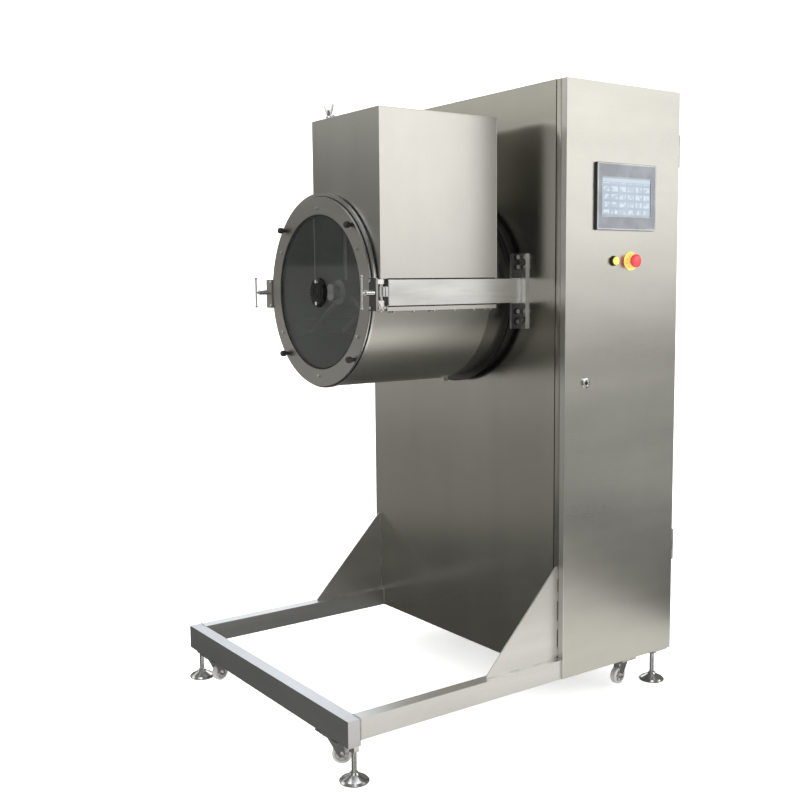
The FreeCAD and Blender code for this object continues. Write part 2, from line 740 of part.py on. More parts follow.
def arm_brackets():
    height = (bracket_bottom, bracket_top)
    plate = block((bracket_outer - bracket_plate, bracket_outer), (-43, 0), height)
    flange = block((bracket_outer, bracket_outer + bracket_flange), (-bracket_plate, 0), height)
    lug_x = (arm_inner - 2, bracket_outer - bracket_plate)
    lugs = [block(lug_x, (-36, 0), z) for z in ((bracket_bottom + 12, bracket_bottom + 56),
                                               (bracket_top - 49, bracket_top - 5))]
    bracket = plate.fuse([flange] + lugs)
    bracket = bracket.cut(block((arm_inner - 5, arm_outer), (-44, arm_rear), (arm_bottom, arm_top)))
    holes = [bore(bolt_shank, lug_x[0], bracket_outer, "x", (bracket_bolt_y, z)) for z in bracket_bolt_z]
    keep(both_sides(bracket.cut(holes).removeSplitter()), "arm_brackets")


def frame_bolts():
    head = 5.5
    solids = []
    for z in bracket_bolt_z:
        place = (bracket_bolt_y, z)
        bolt = hexagon(bolt_across, bracket_outer, bracket_outer + head, "x", place)
        solids.append(bolt.fuse(rod(bolt_shank, arm_inner - 1, bracket_outer, "x", place)))
    for y in strip_screw_y:
        solids.append(rod(5, seam_z - seam_strip - 5, seam_z - seam_strip, "z", (arm_inner + 5, y)))
    for z in flange_bolt_z:
        solids.append(hexagon(bolt_across, -bracket_plate - head, -bracket_plate, "y", (bracket_outer + 14, z)))
    keep_all([piece for solid in solids for piece in (solid, mirrored(solid))], "frame_bolts")


def hinge_pins():
    head = upper_ear_top + gap
    place = (hinge_x, hinge_y)
    drum_pin = rod(hinge_pin_radius, clevis_bottom - 4, head, "z", place)
    solids = [drum_pin.fuse(rod(7.5, head, box_bottom - gap, "z", place))]
    for x in lid_hinge_x:
        reach = 3 * lid_knuckle
        solids.append(rod(lid_pin, x - reach, x + reach, "x", (lid_hinge_y, lid_hinge_z)))
    for z in door_hinge_heights:
        half = door_hinge_length / 2
        solids.append(rod(door_hinge_pin, z - half, z + half, "z", (door_hinge_x, door_hinge_y)))
    keep_all(solids, "hinge_pins")


# Drum door

def drum_door():
    ring = drum_ring(ring_radius, ring_opening, ring_front, ring_rear)
    ring = ring.makeChamfer(1.2, [e for e in ring.Edges if abs(e.BoundBox.YMin - ring_front) < 0.01
                                  and abs(e.BoundBox.YMax - ring_front) < 0.01])
    ring = ring.cut(drum_disc(glass_radius + gap, glass_front, ring_rear + past))
    clamp = drum_ring(clamp_radius, ring_opening, ring_rear, clamp_rear)
    clamp = clamp.cut(drum_disc(glass_radius + gap, ring_rear - past, glass_front + glass_thickness))
    screws = []
    for step in range(6):
        place = on_circle(screw_circle, 30 + 60 * step)
        hole = rod(screw_radius, ring_front - past, screw_end, "y", place)
        ring = ring.cut(hole)
        clamp = clamp.cut(hole)
        shank = rod(screw_radius, ring_front, screw_end, "y", place)
        screws.append(shank.fuse(rod(screw_radius + 2, ring_front - 3, ring_front, "y", place)))
    for degrees in knob_angles:
        place = on_circle(knob_circle, degrees)
        ring = ring.cut(bore(stud_radius + gap, ring_front, ring_rear, "y", place))
    keep(ring, "door_ring")
    keep(clamp, "glass_clamp_ring")
    keep_all(screws, "ring_screws")


def door_glass():
    glass_rear = glass_front + glass_thickness
    neck = 20
    glass = drum_disc(glass_radius, glass_front, glass_rear)
    keep(glass.cut(drum_disc(neck, glass_front - past, glass_rear + past)), "door_glass")

    # The hub's heights run forward from the glass, and its inner flange lies behind it
    rim = hub_radius
    outline = [(0, hub_depth), (rim - 15, hub_depth), (rim - 9, hub_depth - 1), (rim, hub_depth / 2), (rim, 0),
               (neck, 0), (neck, -glass_thickness), (rim - 15, -glass_thickness),
               (rim - 15, -glass_thickness - 6), (0, -glass_thickness - 6)]
    hub = turned(outline, (0, glass_front, drum_z), "-y")
    for step in range(8):
        place = on_circle(rim + 3, 22.5 + 45 * step)
        hub = hub.cut(rod(9, glass_front - hub_depth - past, glass_front - 2, "y", place))
    for side in (-1, 1):
        place = (0, drum_z + side * hub_bolt_offset)
        hub = hub.fuse(hexagon(11, glass_front - hub_depth - 4, glass_front - hub_depth / 2, "y", place))
    keep(hub.removeSplitter(), "glass_hub")


def clevis_blocks():
    z = (clevis_bottom, clevis_top)
    web_rear = clevis_front + clevis_web
    root_x = clevis_inner - 10
    web = block((root_x, arm_outer), (clevis_front, web_rear), z)
    root = block((root_x, arm_inner - past), (web_rear, ring_rear), z)
    solid = web.fuse(root).cut(drum_disc(ring_radius, clevis_front - past, ring_rear + past))
    for low, high in ((clevis_bottom, lower_ear_top), (upper_ear_bottom, upper_ear_top)):
        ear = block((arm_inner, arm_outer), (web_rear, hinge_y), (low, high))
        solid = solid.fuse(ear.fuse(rod(ear_radius, low, high, "z", (hinge_x, hinge_y))))
    solid = solid.cut(bore(stud_radius + pin_clearance, clevis_front, web_rear, "y", (handle_x, drum_z)))
    right = solid.cut(bore(hinge_pin_radius + pin_clearance, clevis_bottom, clevis_top, "z", (hinge_x, hinge_y)))
    keep_all([mirrored(solid).removeSplitter(), right.removeSplitter()], "clevis_blocks")


def t_handles():
    # The left stem runs into the arm's tip and holds the door shut; the right one ends in its clevis
    bar_y = clevis_front - handle_reach
    for name, side, tip in (("left", -1, hinge_y - 5), ("right", 1, clevis_front + clevis_web)):
        x = side * handle_x
        stem = rod(stud_radius, bar_y, tip, "y", (x, drum_z))
        boss = rod(8, bar_y + 10, clevis_front - 3, "y", (x, drum_z))
        handle = rod(3, drum_z - handle_half, drum_z + handle_half, "z", (x, bar_y))
        ends = [Part.makeSphere(4.5, V(x, bar_y, drum_z + end)) for end in (-handle_half, handle_half)]
        keep(stem.fuse([boss, handle] + ends).removeSplitter(), "t_handle_" + name)


def star_knobs():
    for name, degrees in zip(("upper_right", "upper_left", "lower_left", "lower_right"), knob_angles):
        x, z = on_circle(knob_circle, degrees)
        outline = [(0, 0), (6, 0), (6, 8), (9.5, 10), (9.5, 20), (7, 24), (0, 24)]
        head = turned(outline, (x, ring_front - gap, z), "-y")
        for step in range(5):
            angle = math.radians(72 * step)
            place = (x + 11 * math.cos(angle), z + 11 * math.sin(angle))
            head = head.cut(rod(3, ring_front - 30, ring_front - 9, "y", place))
        stud = rod(stud_radius, ring_front - 2, shell_front + 3, "y", (x, z))
        keep(head.fuse(stud).removeSplitter(), "star_knob_" + name)


# Rotor and drive

def sprocket(teeth, z, bore_radius):
    # Toothed wheel for the chain's pitch, with a hub
    tip, root = pitch_radius(teeth) + tooth_tip, pitch_radius(teeth) - tooth_root
    points = []
    for step in range(teeth):
        for part, radius in ((-0.12, tip), (0.12, tip), (0.3, root), (0.7, root)):
            angle = 2 * math.pi * (step + part) / teeth
            points.append(V(radius * math.cos(angle), sprocket_y, z + radius * math.sin(angle)))
    wheel = Part.Face(Part.makePolygon(points + points[:1])).extrude(V(0, sprocket_width, 0))
    return wheel.fuse(rod(bore_radius + hub_wall, sprocket_y - hub_reach, sprocket_y + sprocket_width + hub_reach,
                          "y", (0, z)))


def rotor():
    shaft = drum_disc(shaft_radius, shaft_front, shaft_rear)
    keep(shaft.fuse(sprocket(rotor_teeth, drum_z, shaft_radius)).removeSplitter(), "rotor_shaft")

    hub = drum_disc(rotor_hub_radius, rotor_hub_y[0], rotor_hub_y[1])
    pieces = []
    for degrees in blade_angles:
        x, z = on_circle(rotor_hub_radius - 8, degrees)
        tip_x, tip_z = on_circle(blade_outer - 5, degrees)
        way = V(tip_x - x, 0, tip_z - z)
        pieces += [Part.makeCylinder(spoke_radius, way.Length, V(x, y, z), way) for y in spoke_y]
        blade = blade_shape()
        blade.rotate(V(0, 0, 0), V(0, -1, 0), degrees)
        blade.translate(V(0, 0, drum_z))
        pieces.append(blade)
    hub = hub.fuse(pieces).cut(drum_disc(shaft_radius, shaft_front - past, shell_rear))
    keep(hub.removeSplitter(), "rotor_blades")


def blade_shape():
    # Curved scraper drawn at the right of the axis, along the drum, with its outer edge near the shell
    outline = [(-30, -34), (-4, -12), (0, 8), (-6, 8), (-10, -9), (-34, -29)]
    points = [V(blade_outer + x, blade_y[0], z) for x, z in outline + outline[:1]]
    return Part.Face(Part.makePolygon(points)).extrude(V(0, blade_y[1] - blade_y[0], 0))


def bearings():
    # Two plates joined by stays, each with a flanged bearing housing
    half, tall = bearing_plate_half, bearing_bar_offset + 25
    plates = []
    for y in (sheet + bearing_bar, second_bearing_y):
        plate = block((-half, half), (y, y + bearing_plate), (drum_z - tall, drum_z + tall))
        plates.append(plate.cut(bore(seal_radius, y, y + bearing_plate, "y", (0, drum_z))))
    first_face = sheet + bearing_bar + bearing_plate
    stays = [rod(12, first_face, second_bearing_y, "y", (x, drum_z + z))
             for x in (-stay_offset, stay_offset) for z in (5 - stay_offset, stay_offset - 5)]
    solids = [plates[0].fuse([plates[1]] + stays).removeSplitter()]
    flange = housing_radius
    for y in (first_face, second_bearing_y + bearing_plate):
        outline = [(0, 0), (flange, 0), (flange, 14), (flange - 23, 18), (flange - 27, 40), (0, 40)]
        housing = turned(outline, (0, y, drum_z), "y")
        solids.append(housing.cut(bore(shaft_radius + pin_clearance, y, y + 40, "y", (0, drum_z))))
    keep_all(solids, "bearing_unit")


def drive():
    shelf_top = motor_shelf_z + shelf_plate
    shelf = block((-cabinet_half_width + sheet + post_size, front_panel_right - post_inset - sheet),
                  (recess_depth + sheet, cabinet_depth - sheet), (motor_shelf_z, shelf_top))
    keep(shelf, "motor_shelf")

    centre = (0, motor_z)
    front, rear = gearbox_y
    box = block((-75, 75), (front, rear), (shelf_top, motor_z + 75))
    box = box.makeFillet(12, [e for e in box.Edges if abs(e.tangentAt(e.FirstParameter).y) > 0.9
                              and e.CenterOfMass.z > motor_z])
    box = box.fuse(rod(45, front - 20, front, "y", centre))
    box = box.cut(rod(motor_shaft + pin_clearance, front - 20 - past, front + 60, "y", centre))
    fan = motor_rear - 15
    motor = rod(motor_radius, rear, fan, "y", centre).fuse(rod(motor_radius + 4, fan, motor_rear, "y", centre))
    terminal_box = block((-35, 35), (rear + 30, rear + 110), (motor_z + 50, motor_z + 95))
    keep_all([box.removeSplitter(), motor.fuse(terminal_box).removeSplitter()], "gear_motor")

    output = rod(motor_shaft, sprocket_y - hub_reach, front + 58, "y", centre)
    keep(output.fuse(sprocket(motor_teeth, motor_z, motor_shaft)).removeSplitter(), "motor_sprocket")
    keep(chain(), "drive_chain")


def chain():
    # Fixed loop: a band of link plates on each side of the teeth, joined by rollers where no teeth are
    large, small = pitch_radius(rotor_teeth), pitch_radius(motor_teeth)
    lean = math.asin((large - small) / sprocket_distance)
    link_half, plate, roller = 10, 3, 7.9
    clear_of_rotor, clear_of_motor = 2.5 * chain_pitch, 1.7 * chain_pitch

    def tangent_point(radius, z, side):
        return V(side * radius * math.cos(lean), 0, z + radius * math.sin(-lean))

    def loop(extra):
        a, b = large + extra, small + extra
        upper = [tangent_point(a, drum_z, side) for side in (1, -1)]
        lower = [tangent_point(b, motor_z, side) for side in (1, -1)]
        edges = [Part.Arc(upper[0], V(0, 0, drum_z + a), upper[1]).toShape(),
                 Part.LineSegment(upper[1], lower[1]).toShape(),
                 Part.Arc(lower[1], V(0, 0, motor_z - b), lower[0]).toShape(),
                 Part.LineSegment(lower[0], upper[0]).toShape()]
        return Part.Face(Part.Wire(edges)).extrude(V(0, plate, 0))

    band = loop(link_half).cut(loop(-link_half))
    front, rear = sprocket_y - gap - plate, sprocket_y + sprocket_width + gap
    bands = []
    for y in (front, rear):
        piece = band.copy()
        piece.translate(V(0, y, 0))
        bands.append(piece)
    rollers = []
    for side in (1, -1):
        start, end = tangent_point(large, drum_z, side), tangent_point(small, motor_z, side)
        run = end - start
        count = int((run.Length - clear_of_rotor - clear_of_motor) / chain_pitch) + 1
        for step in range(count):
            place = start + run * ((clear_of_rotor + step * chain_pitch) / run.Length)
            rollers.append(rod(roller, front + past, rear + past, "y", (place.x, place.z)))
    return bands[0].fuse([bands[1]] + rollers).removeSplitter()


def electrics():
    left = -cabinet_half_width + sheet
    front, rear, low, high = 70, cabinet_depth - 70, 1150, 1750
    face = left + 15
    plate = block((left + 12, face), (front, rear), (low, high))
    studs = [rod(8, left, left + 12, "x", (y, z)) for y in (front + 20, rear - 20) for z in (low + 20, high - 20)]
    units = ((110, (front + 20, front + 130), (1540, 1720)), (70, (rear - 190, rear - 20), (1600, 1700)),
             (60, (front + 20, rear - 20), (1400, 1440)), (80, (front + 30, front + 180), (1200, 1330)),
             (45, (rear - 140, rear - 30), (1200, 1300)))
    solids = [plate.fuse(studs).removeSplitter()]
    solids += [block((face, face + deep), y, z) for deep, y, z in units]
    keep_all(solids, "electric_panel")

    outside = cabinet_depth + 7
    gland = hexagon(28, cabinet_depth, outside, "y", gland_place)
    gland = gland.fuse([rod(12, outside, outside + 15, "y", gland_place),
                        rod(gland_radius, cabinet_depth - 12, cabinet_depth, "y", gland_place)])
    gland = gland.cut(bore(5, cabinet_depth - 12, outside + 15, "y", gland_place))
    keep(gland.removeSplitter(), "cable_gland")


os.makedirs("parts", exist_ok=True)
base_frame()
levelling_feet()
caster_plates()
casters()
cabinet_panels()
cabinet_frame()
lock_keeper()
side_door()
side_door_hinges()
hmi()
buttons()
drum_mount()
drum_shells()
front_flange()
feed_box()
box_lid()
wing_screw()
arms()
arm_brackets()
frame_bolts()
hinge_pins()
drum_door()
door_glass()
clevis_blocks()
t_handles()
star_knobs()
rotor()
bearings()
drive()
electrics()
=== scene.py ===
import math
import random

import bmesh
import bpy
from mathutils import Matrix, Vector


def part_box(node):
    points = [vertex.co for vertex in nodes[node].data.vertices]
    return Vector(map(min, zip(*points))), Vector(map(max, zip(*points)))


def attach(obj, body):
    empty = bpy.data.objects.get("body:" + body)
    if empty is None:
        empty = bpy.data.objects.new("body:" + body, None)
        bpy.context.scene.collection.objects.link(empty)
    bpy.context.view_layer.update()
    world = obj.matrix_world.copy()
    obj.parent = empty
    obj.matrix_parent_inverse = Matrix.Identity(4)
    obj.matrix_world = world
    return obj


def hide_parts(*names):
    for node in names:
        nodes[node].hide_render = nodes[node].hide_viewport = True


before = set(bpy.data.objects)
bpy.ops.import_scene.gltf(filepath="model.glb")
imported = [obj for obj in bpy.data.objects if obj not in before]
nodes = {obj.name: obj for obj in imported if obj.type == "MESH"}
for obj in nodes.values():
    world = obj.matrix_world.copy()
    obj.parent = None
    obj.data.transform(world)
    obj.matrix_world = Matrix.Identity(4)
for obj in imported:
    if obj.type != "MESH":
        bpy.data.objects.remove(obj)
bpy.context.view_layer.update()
print("frame loaded:", len(nodes), "nodes")

# places that several pieces share, in mm as on the drawing, and the ways that pieces face
originX, originY = 8.5, 137
drumZ, cornerX, doorFace, rearFace = 1305, 504.4, 505, 490
upward, downward, frontward, rearward, outward = (0, 0, 1), (0, 0, -1), (0, -1, 0), (0, 1, 0), (1, 0, 0)


def at(x, y, z):
    # drawing places in mm: x from the drum's axis, y from the cabinet's front, z from the floor
    return Vector(((x - originX) / 1000, (y + originY) / 1000, z / 1000))


def aroundDrum(radius, y, angle):
    # place on a circle round the drum's axis
    return at(radius * math.cos(angle), y, drumZ + radius * math.sin(angle))


def turns(count):
    # angles spread evenly round a circle
    return [2 * math.pi * k / count for k in range(count)]


# shader maths

def mathOp(kind, turned=False):
    def apply(self, other=None):
        pair = (self, other) if not turned else (other, self)
        return self.tree.node("ShaderNodeMath", {"operation": kind}, *[p for p in pair if p is not None])
    return apply


class Value:
    # one output socket; + - * on it add Math nodes
    def __init__(self, tree, socket):
        self.tree = tree
        self.socket = socket

    __add__ = mathOp("ADD")
    __radd__ = mathOp("ADD", True)
    __sub__ = mathOp("SUBTRACT")
    __rsub__ = mathOp("SUBTRACT", True)
    __mul__ = mathOp("MULTIPLY")
    __rmul__ = mathOp("MULTIPLY", True)
    below = mathOp("LESS_THAN")
    above = mathOp("GREATER_THAN")

    def between(self, low, high):
        return self.above(low) * self.below(high)

    def fraction(self):
        return self.tree.node("ShaderNodeMath", {"operation": "FRACT"}, self)

    def ramp(self, low, high, first=0.0, last=1.0):
        # smooth step from first to last while the value goes from low to high
        settings = {"interpolation_type": "SMOOTHSTEP"}
        return self.tree.node("ShaderNodeMapRange", settings, self, low, high, first, last)


class Finish:
    # a material and the few calls that build its nodes
    def __init__(self, name):
        self.material = bpy.data.materials.new(name)
        self.material.use_nodes = True
        self.nodes = self.material.node_tree.nodes
        self.links = self.material.node_tree.links
        self.shader = self.nodes["Principled BSDF"]
        self.coordinates = self.nodes.new("ShaderNodeTexCoord").outputs["Object"]

    def node(self, kind, settings, *values, output=0, **named):
        made = self.nodes.new(kind)
        for key, value in settings.items():
            setattr(made, key, value)
        for number, value in list(enumerate(values)) + list(named.items()):
            key = number if isinstance(number, int) else number.replace("_", " ")
            socket = made.inputs[key]
            if isinstance(value, Value):
                self.links.new(value.socket, socket)
            else:
                socket.default_value = value
        return Value(self, made.outputs[output])

    def place(self, scale=(1, 1, 1)):
        return self.node("ShaderNodeMapping", {}, Vector=Value(self, self.coordinates), Scale=scale)

    def axis(self, letter):
        split = self.node("ShaderNodeSeparateXYZ", {}, Value(self, self.coordinates), output="XYZ".index(letter))
        return split

    def noise(self, scale, stretch=(1, 1, 1), detail=3.0, rough=0.55):
        place = self.place(stretch)
        return self.node("ShaderNodeTexNoise", {}, Vector=place, Scale=scale, Detail=detail, Roughness=rough)

    def blend(self, amount, first, second):
        # colour mix; amount may be a Value
        mix = self.nodes.new("ShaderNodeMix")
        mix.data_type = "RGBA"
        for key, value in ((0, amount), (6, first), (7, second)):
            if isinstance(value, Value):
                self.links.new(value.socket, mix.inputs[key])
            else:
                mix.inputs[key].default_value = value if key == 0 else (*value[:3], 1)
        return Value(self, mix.outputs[2])

    def bump(self, height, strength, distance=0.001):
        return self.node("ShaderNodeBump", {}, Height=height, Strength=strength, Distance=distance)

    def set(self, **sockets):
        for key, value in sockets.items():
            socket = self.shader.inputs[key.replace("_", " ")]
            if isinstance(value, Value):
                self.links.new(value.socket, socket)
            else:
                socket.default_value = value
        return self


def tint(color, factor):
    return tuple(min(1.0, c * factor) for c in color[:3])


# what a steel or a plastic has unless its own line below says otherwise
usualSteel = {"grainScale": 14, "bandScale": 5, "smudgeScale": 9, "grainTone": 0.25, "bandTone": 0.6,
              "smudgeTone": 0.15, "low": 0.86, "high": 1.1, "roughBands": 0.1, "roughGrain": 0.08, "bump": 0.12}
usualPlastic = {"poreScale": 900, "cloudScale": 14, "gloss": 0.5, "bump": 0.15}


def brushedSteel(name, look):
    # sheet or bar steel: fine grain along one axis, slow tone bands, light wear
    look = {**usualSteel, **look}
    finish = Finish(name)
    along = look["grain"]
    fineStretch = [1.0 if axis == along else 60.0 for axis in "XYZ"]
    bandStretch = [0.15 if axis == along else 1.0 for axis in "XYZ"]
    grain = finish.noise(look["grainScale"], fineStretch, 4.0, 0.6)
    bands = finish.noise(look["bandScale"], bandStretch, 2.0, 0.5)
    smudge = finish.noise(look["smudgeScale"], (1, 1, 1), 5.0, 0.6)
    tone = grain * look["grainTone"] + bands * look["bandTone"] + smudge * look["smudgeTone"]
    color = finish.blend(tone.ramp(0.25, 0.75), tint(look["color"], look["low"]),
                         tint(look["color"], look["high"]))
    rough = bands * look["roughBands"] + grain * look["roughGrain"] + look["rough"]
    finish.set(Base_Color=color, Metallic=1.0, Roughness=rough, Normal=finish.bump(grain, look["bump"], 0.0004))
    return finish.material


def castPlastic(name, look):
    # moulded plastic or rubber: fine orange-peel grain and a little dust tone
    look = {**usualPlastic, **look}
    finish = Finish(name)
    pores = finish.noise(look["poreScale"], (1, 1, 1), 2.0, 0.5)
    cloud = finish.noise(look["cloudScale"], (1, 1, 1), 4.0, 0.6)
    color = finish.blend(cloud.ramp(0.35, 0.7), tint(look["color"], 0.85), tint(look["color"], 1.15))
    finish.set(Base_Color=color, Roughness=cloud * 0.12 + look["rough"], Specular_IOR_Level=look["gloss"],
               Normal=finish.bump(pores, look["bump"], 0.0003))
    if "coat" in look:
        finish.set(Coat_Weight=look["coat"], Coat_Roughness=0.08)
    return finish.material


def paintedMetal(name, look):
    # sprayed paint with a slight orange peel
    finish = Finish(name)
    peel = finish.noise(260, (1, 1, 1), 2.0, 0.5)
    cloud = finish.noise(6, (1, 1, 1), 4.0, 0.6)
    color = finish.blend(cloud.ramp(0.3, 0.75), tint(look["color"], 0.88), tint(look["color"], 1.1))
    finish.set(Base_Color=color, Roughness=cloud * 0.1 + look["rough"], Normal=finish.bump(peel, 0.1, 0.0005))
    return finish.material


def smokedGlass(name, look):
    # dark see-through pane: its gloss is the specular level, its clearness the alpha
    finish = Finish(name)
    film = finish.noise(5, (1, 1, 1), 3.0, 0.6)
    color = finish.blend(film.ramp(0.3, 0.7), look["color"], tint(look["color"], 1.3))
    finish.set(Base_Color=color, Roughness=film * 0.03 + look["rough"], Alpha=look["alpha"],
               Specular_IOR_Level=look["gloss"], IOR=1.5)
    return finish.material


def blankScreen(name, look):
    # display under glass: a plain bar along the top and rows of blank tiles
    finish = Finish(name)
    y, z = finish.axis("Y"), finish.axis("Z")
    low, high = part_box("hmi_screen")
    across = (y - low[1]) * (1 / (high[1] - low[1]))
    up = (z - low[2]) * (1 / (high[2] - low[2]))
    columns, rows = (across * look["columns"]).fraction(), (up * look["rows"]).fraction()
    tile = columns.between(*look["tileAcross"]) * rows.between(*look["tileUp"])
    inside = across.between(*look["edgeAcross"]) * up.between(*look["edgeUp"])
    patches = finish.noise(60, (1, 1, 1), 1.0, 0.5).ramp(0.42, 0.58)
    bar = up.between(*look["barUp"])
    glow = finish.noise(9, (1, 1, 1), 2.0, 0.5)
    ground = finish.blend(glow.ramp(0.3, 0.7), look["color"], tint(look["color"], 1.15))
    marked = finish.blend(tile * inside * (patches * 0.8 + 0.2), ground, look["tile"])
    color = finish.blend(bar * 0.7, marked, look["bar"])
    finish.set(Base_Color=color, Roughness=glow * 0.04 + look["rough"], Coat_Weight=0.6, Coat_Roughness=0.05,
               Emission_Color=color, Emission_Strength=look["glow"])
    return finish.material


steelLooks = {
    # darker copy of the cabinet steel for the front panel: painted shade
    "cabinetShadeSteel": {"color": (0.44, 0.43, 0.39), "rough": 0.16, "grain": "Z", "bandScale": 4, "low": 0.9,
                     "high": 1.08, "roughBands": 0.06},
    "sideSteel": {"color": (0.63, 0.625, 0.59), "rough": 0.21, "grain": "Y", "bandScale": 7, "low": 0.88},
    "rearSteel": {"color": (0.62, 0.61, 0.58), "rough": 0.3, "grain": "X", "bandScale": 6},
    "frameSteel": {"color": (0.82, 0.82, 0.81), "rough": 0.28, "grain": "Y", "bandScale": 9},
    "frontRailSteel": {"color": (0.7, 0.7, 0.72), "rough": 0.26, "grain": "X", "bandScale": 9},
    "boxSteel": {"color": (0.76, 0.755, 0.72), "rough": 0.3, "grain": "Z", "bandScale": 4, "grainTone": 0.12,
                 "roughGrain": 0.04},
    # darker copy of the box steel for the box's front faces: painted shade
    "boxFrontShadeSteel": {"color": (0.44, 0.437, 0.415), "rough": 0.26, "grain": "Z", "bandScale": 4,
                      "grainTone": 0.12},
    "shellSteel": {"color": (0.72, 0.715, 0.68), "rough": 0.26, "grain": "Y", "bandScale": 5},
    # darker copy of the drum's steel for the rear collar: painted shade
    "collarShadeSteel": {"color": (0.4, 0.397, 0.375), "rough": 0.24, "grain": "Y", "bandScale": 5},
    "darkSteel": {"color": (0.13, 0.128, 0.12), "rough": 0.34, "grain": "Z", "bandScale": 18},
    # brighter copy of the steel for folds, welds and rims: painted highlight
    "highlightSteel": {"color": (0.95, 0.95, 0.93), "rough": 0.2, "grain": "Z", "bandScale": 30, "low": 0.9},
    "armSteel": {"color": (0.93, 0.93, 0.92), "rough": 0.24, "grain": "Y", "bandScale": 26, "low": 0.7,
                 "grainTone": 0.2},
    "ringSteel": {"color": (0.45, 0.44, 0.41), "rough": 0.3, "grain": "X", "bandScale": 10},
    "innerSteel": {"color": (0.5, 0.5, 0.49), "rough": 0.35, "grain": "Z", "bandScale": 8},
    "polishedSteel": {"color": (0.86, 0.86, 0.86), "rough": 0.13, "grain": "Z", "bandScale": 20,
                      "roughBands": 0.06},
    "weldSteel": {"color": (0.78, 0.77, 0.75), "rough": 0.34, "grain": "X", "bandScale": 60},
    "chainSteel": {"color": (0.2, 0.2, 0.2), "rough": 0.42, "grain": "X", "bandScale": 30},
}
finishes = {name: brushedSteel(name, look) for name, look in steelLooks.items()}
plasticLooks = {
    "blackPlastic": {"color": (0.014, 0.014, 0.015), "rough": 0.34},
    "hubBlack": {"color": (0.004, 0.004, 0.004), "rough": 0.26, "gloss": 0.22},
    "blackRubber": {"color": (0.012, 0.012, 0.012), "rough": 0.6},
    "hubPlastic": {"color": (0.25, 0.25, 0.25), "rough": 0.5},
    "bezelPlastic": {"color": (0.18, 0.192, 0.215), "rough": 0.3, "coat": 0.4},
    # lighter rim plastic round bezel and display: painted highlight
    "bezelHighlightRim": {"color": (0.38, 0.385, 0.39), "rough": 0.3},
    "yellowPlastic": {"color": (0.86, 0.66, 0.17), "rough": 0.28, "coat": 0.3},
    "redPlastic": {"color": (0.7, 0.05, 0.065), "rough": 0.22, "coat": 0.5},
    "greenPlastic": {"color": (0.72, 0.71, 0.13), "rough": 0.25, "coat": 0.4},
    "wheelPlastic": {"color": (0.4, 0.39, 0.37), "rough": 0.45},
    "unitPlastic": {"color": (0.42, 0.42, 0.41), "rough": 0.5},
    "terminalGreen": {"color": (0.07, 0.2, 0.08), "rough": 0.45},
}
finishes.update({name: castPlastic(name, look) for name, look in plasticLooks.items()})
paintLook = {"color": (0.16, 0.2, 0.24), "rough": 0.36}
glassLook = {"color": (0.035, 0.038, 0.036), "alpha": 0.32, "rough": 0.03, "gloss": 1.0}
# tiles, their field and the bar as shares of one tile's place or of the screen
screenLook = {"color": (0.2, 0.24, 0.285), "tile": (0.31, 0.365, 0.42), "bar": (0.3, 0.35, 0.405),
              "columns": 6, "rows": 5, "tileAcross": (0.12, 0.9), "tileUp": (0.2, 0.84),
              "edgeAcross": (0.03, 0.97), "edgeUp": (0.06, 0.86), "barUp": (0.88, 0.97),
              "rough": 0.1, "glow": 0.32}
finishes["motorPaint"] = paintedMetal("motorPaint", paintLook)
finishes["smokedGlass"] = smokedGlass("smokedGlass", glassLook)
finishes["blankScreen"] = blankScreen("blankScreen", screenLook)
print("finishes made:", len(finishes))

nodeFinish = {
    "cabinet_front_panel": "cabinetShadeSteel", "cabinet_left_panel": "sideSteel", "cabinet_rear_panel": "rearSteel",
    "cabinet_end_panels": "rearSteel", "side_door": "sideSteel", "side_door_hinges": "polishedSteel",
    "base_front_rail": "frontRailSteel", "base_side_rails": "frameSteel", "gusset_plates": "frameSteel",
    "lock_keeper": "innerSteel", "wing_screw": "polishedSteel",
    "caster_plates": "frameSteel", "cabinet_frame": "innerSteel", "motor_shelf": "innerSteel",
    "bearing_unit": "innerSteel", "lock_cam": "polishedSteel", "frame_bolts": "innerSteel",
    "hinge_pins": "polishedSteel", "feed_box": "boxSteel", "box_lid": "boxSteel", "upper_shell": "shellSteel",
    "lower_shell": "shellSteel", "rear_collar": "collarShadeSteel", "drum_rear_wall": "innerSteel",
    "drum_arms": "armSteel", "arm_brackets": "armSteel", "door_ring": "ringSteel", "front_flange": "ringSteel",
    "glass_clamp_ring": "ringSteel", "ring_screws": "polishedSteel", "clevis_blocks": "ringSteel",
    "levelling_feet": "polishedSteel", "rotor_shaft": "polishedSteel", "rotor_blades": "innerSteel",
    "door_glass": "smokedGlass", "glass_hub": "hubBlack", "cable_gland": "blackPlastic",
    "hmi_bezel": "bezelPlastic", "hmi_screen": "blankScreen", "button_collars": "polishedSteel",
    "push_button": "greenPlastic", "stop_button": "redPlastic", "gear_motor": "motorPaint",
    "electric_panel": "unitPlastic", "motor_sprocket": "chainSteel", "drive_chain": "chainSteel",
}
groupFinish = {"t_handle": "polishedSteel", "star_knob": "blackPlastic", "caster_fork": "polishedSteel",
               "caster_wheel": "wheelPlastic"}
for name, node in nodes.items():
    finish = nodeFinish.get(name)
    if finish is None:
        finish = next(value for key, value in groupFinish.items() if name.startswith(key))
    node.data.materials.clear()
    node.data.materials.append(finishes[finish])
print("CAD nodes dressed")


# mesh tools for the small pieces

def grow(name, mesh, finish, body, smooth=True, angle=35):
    # makes an object of a bmesh, shades it and lets it ride on its body
    data = bpy.data.meshes.new(name)
    bmesh.ops.recalc_face_normals(mesh, faces=mesh.faces)
    mesh.to_mesh(data)
    mesh.free()
    data.materials.append(finishes[finish])
    if smooth:
        data.shade_smooth()
        data.set_sharp_from_angle(angle=math.radians(angle))
    made = bpy.data.objects.new(name, data)
    bpy.context.scene.collection.objects.link(made)
    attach(made, body)
    return made


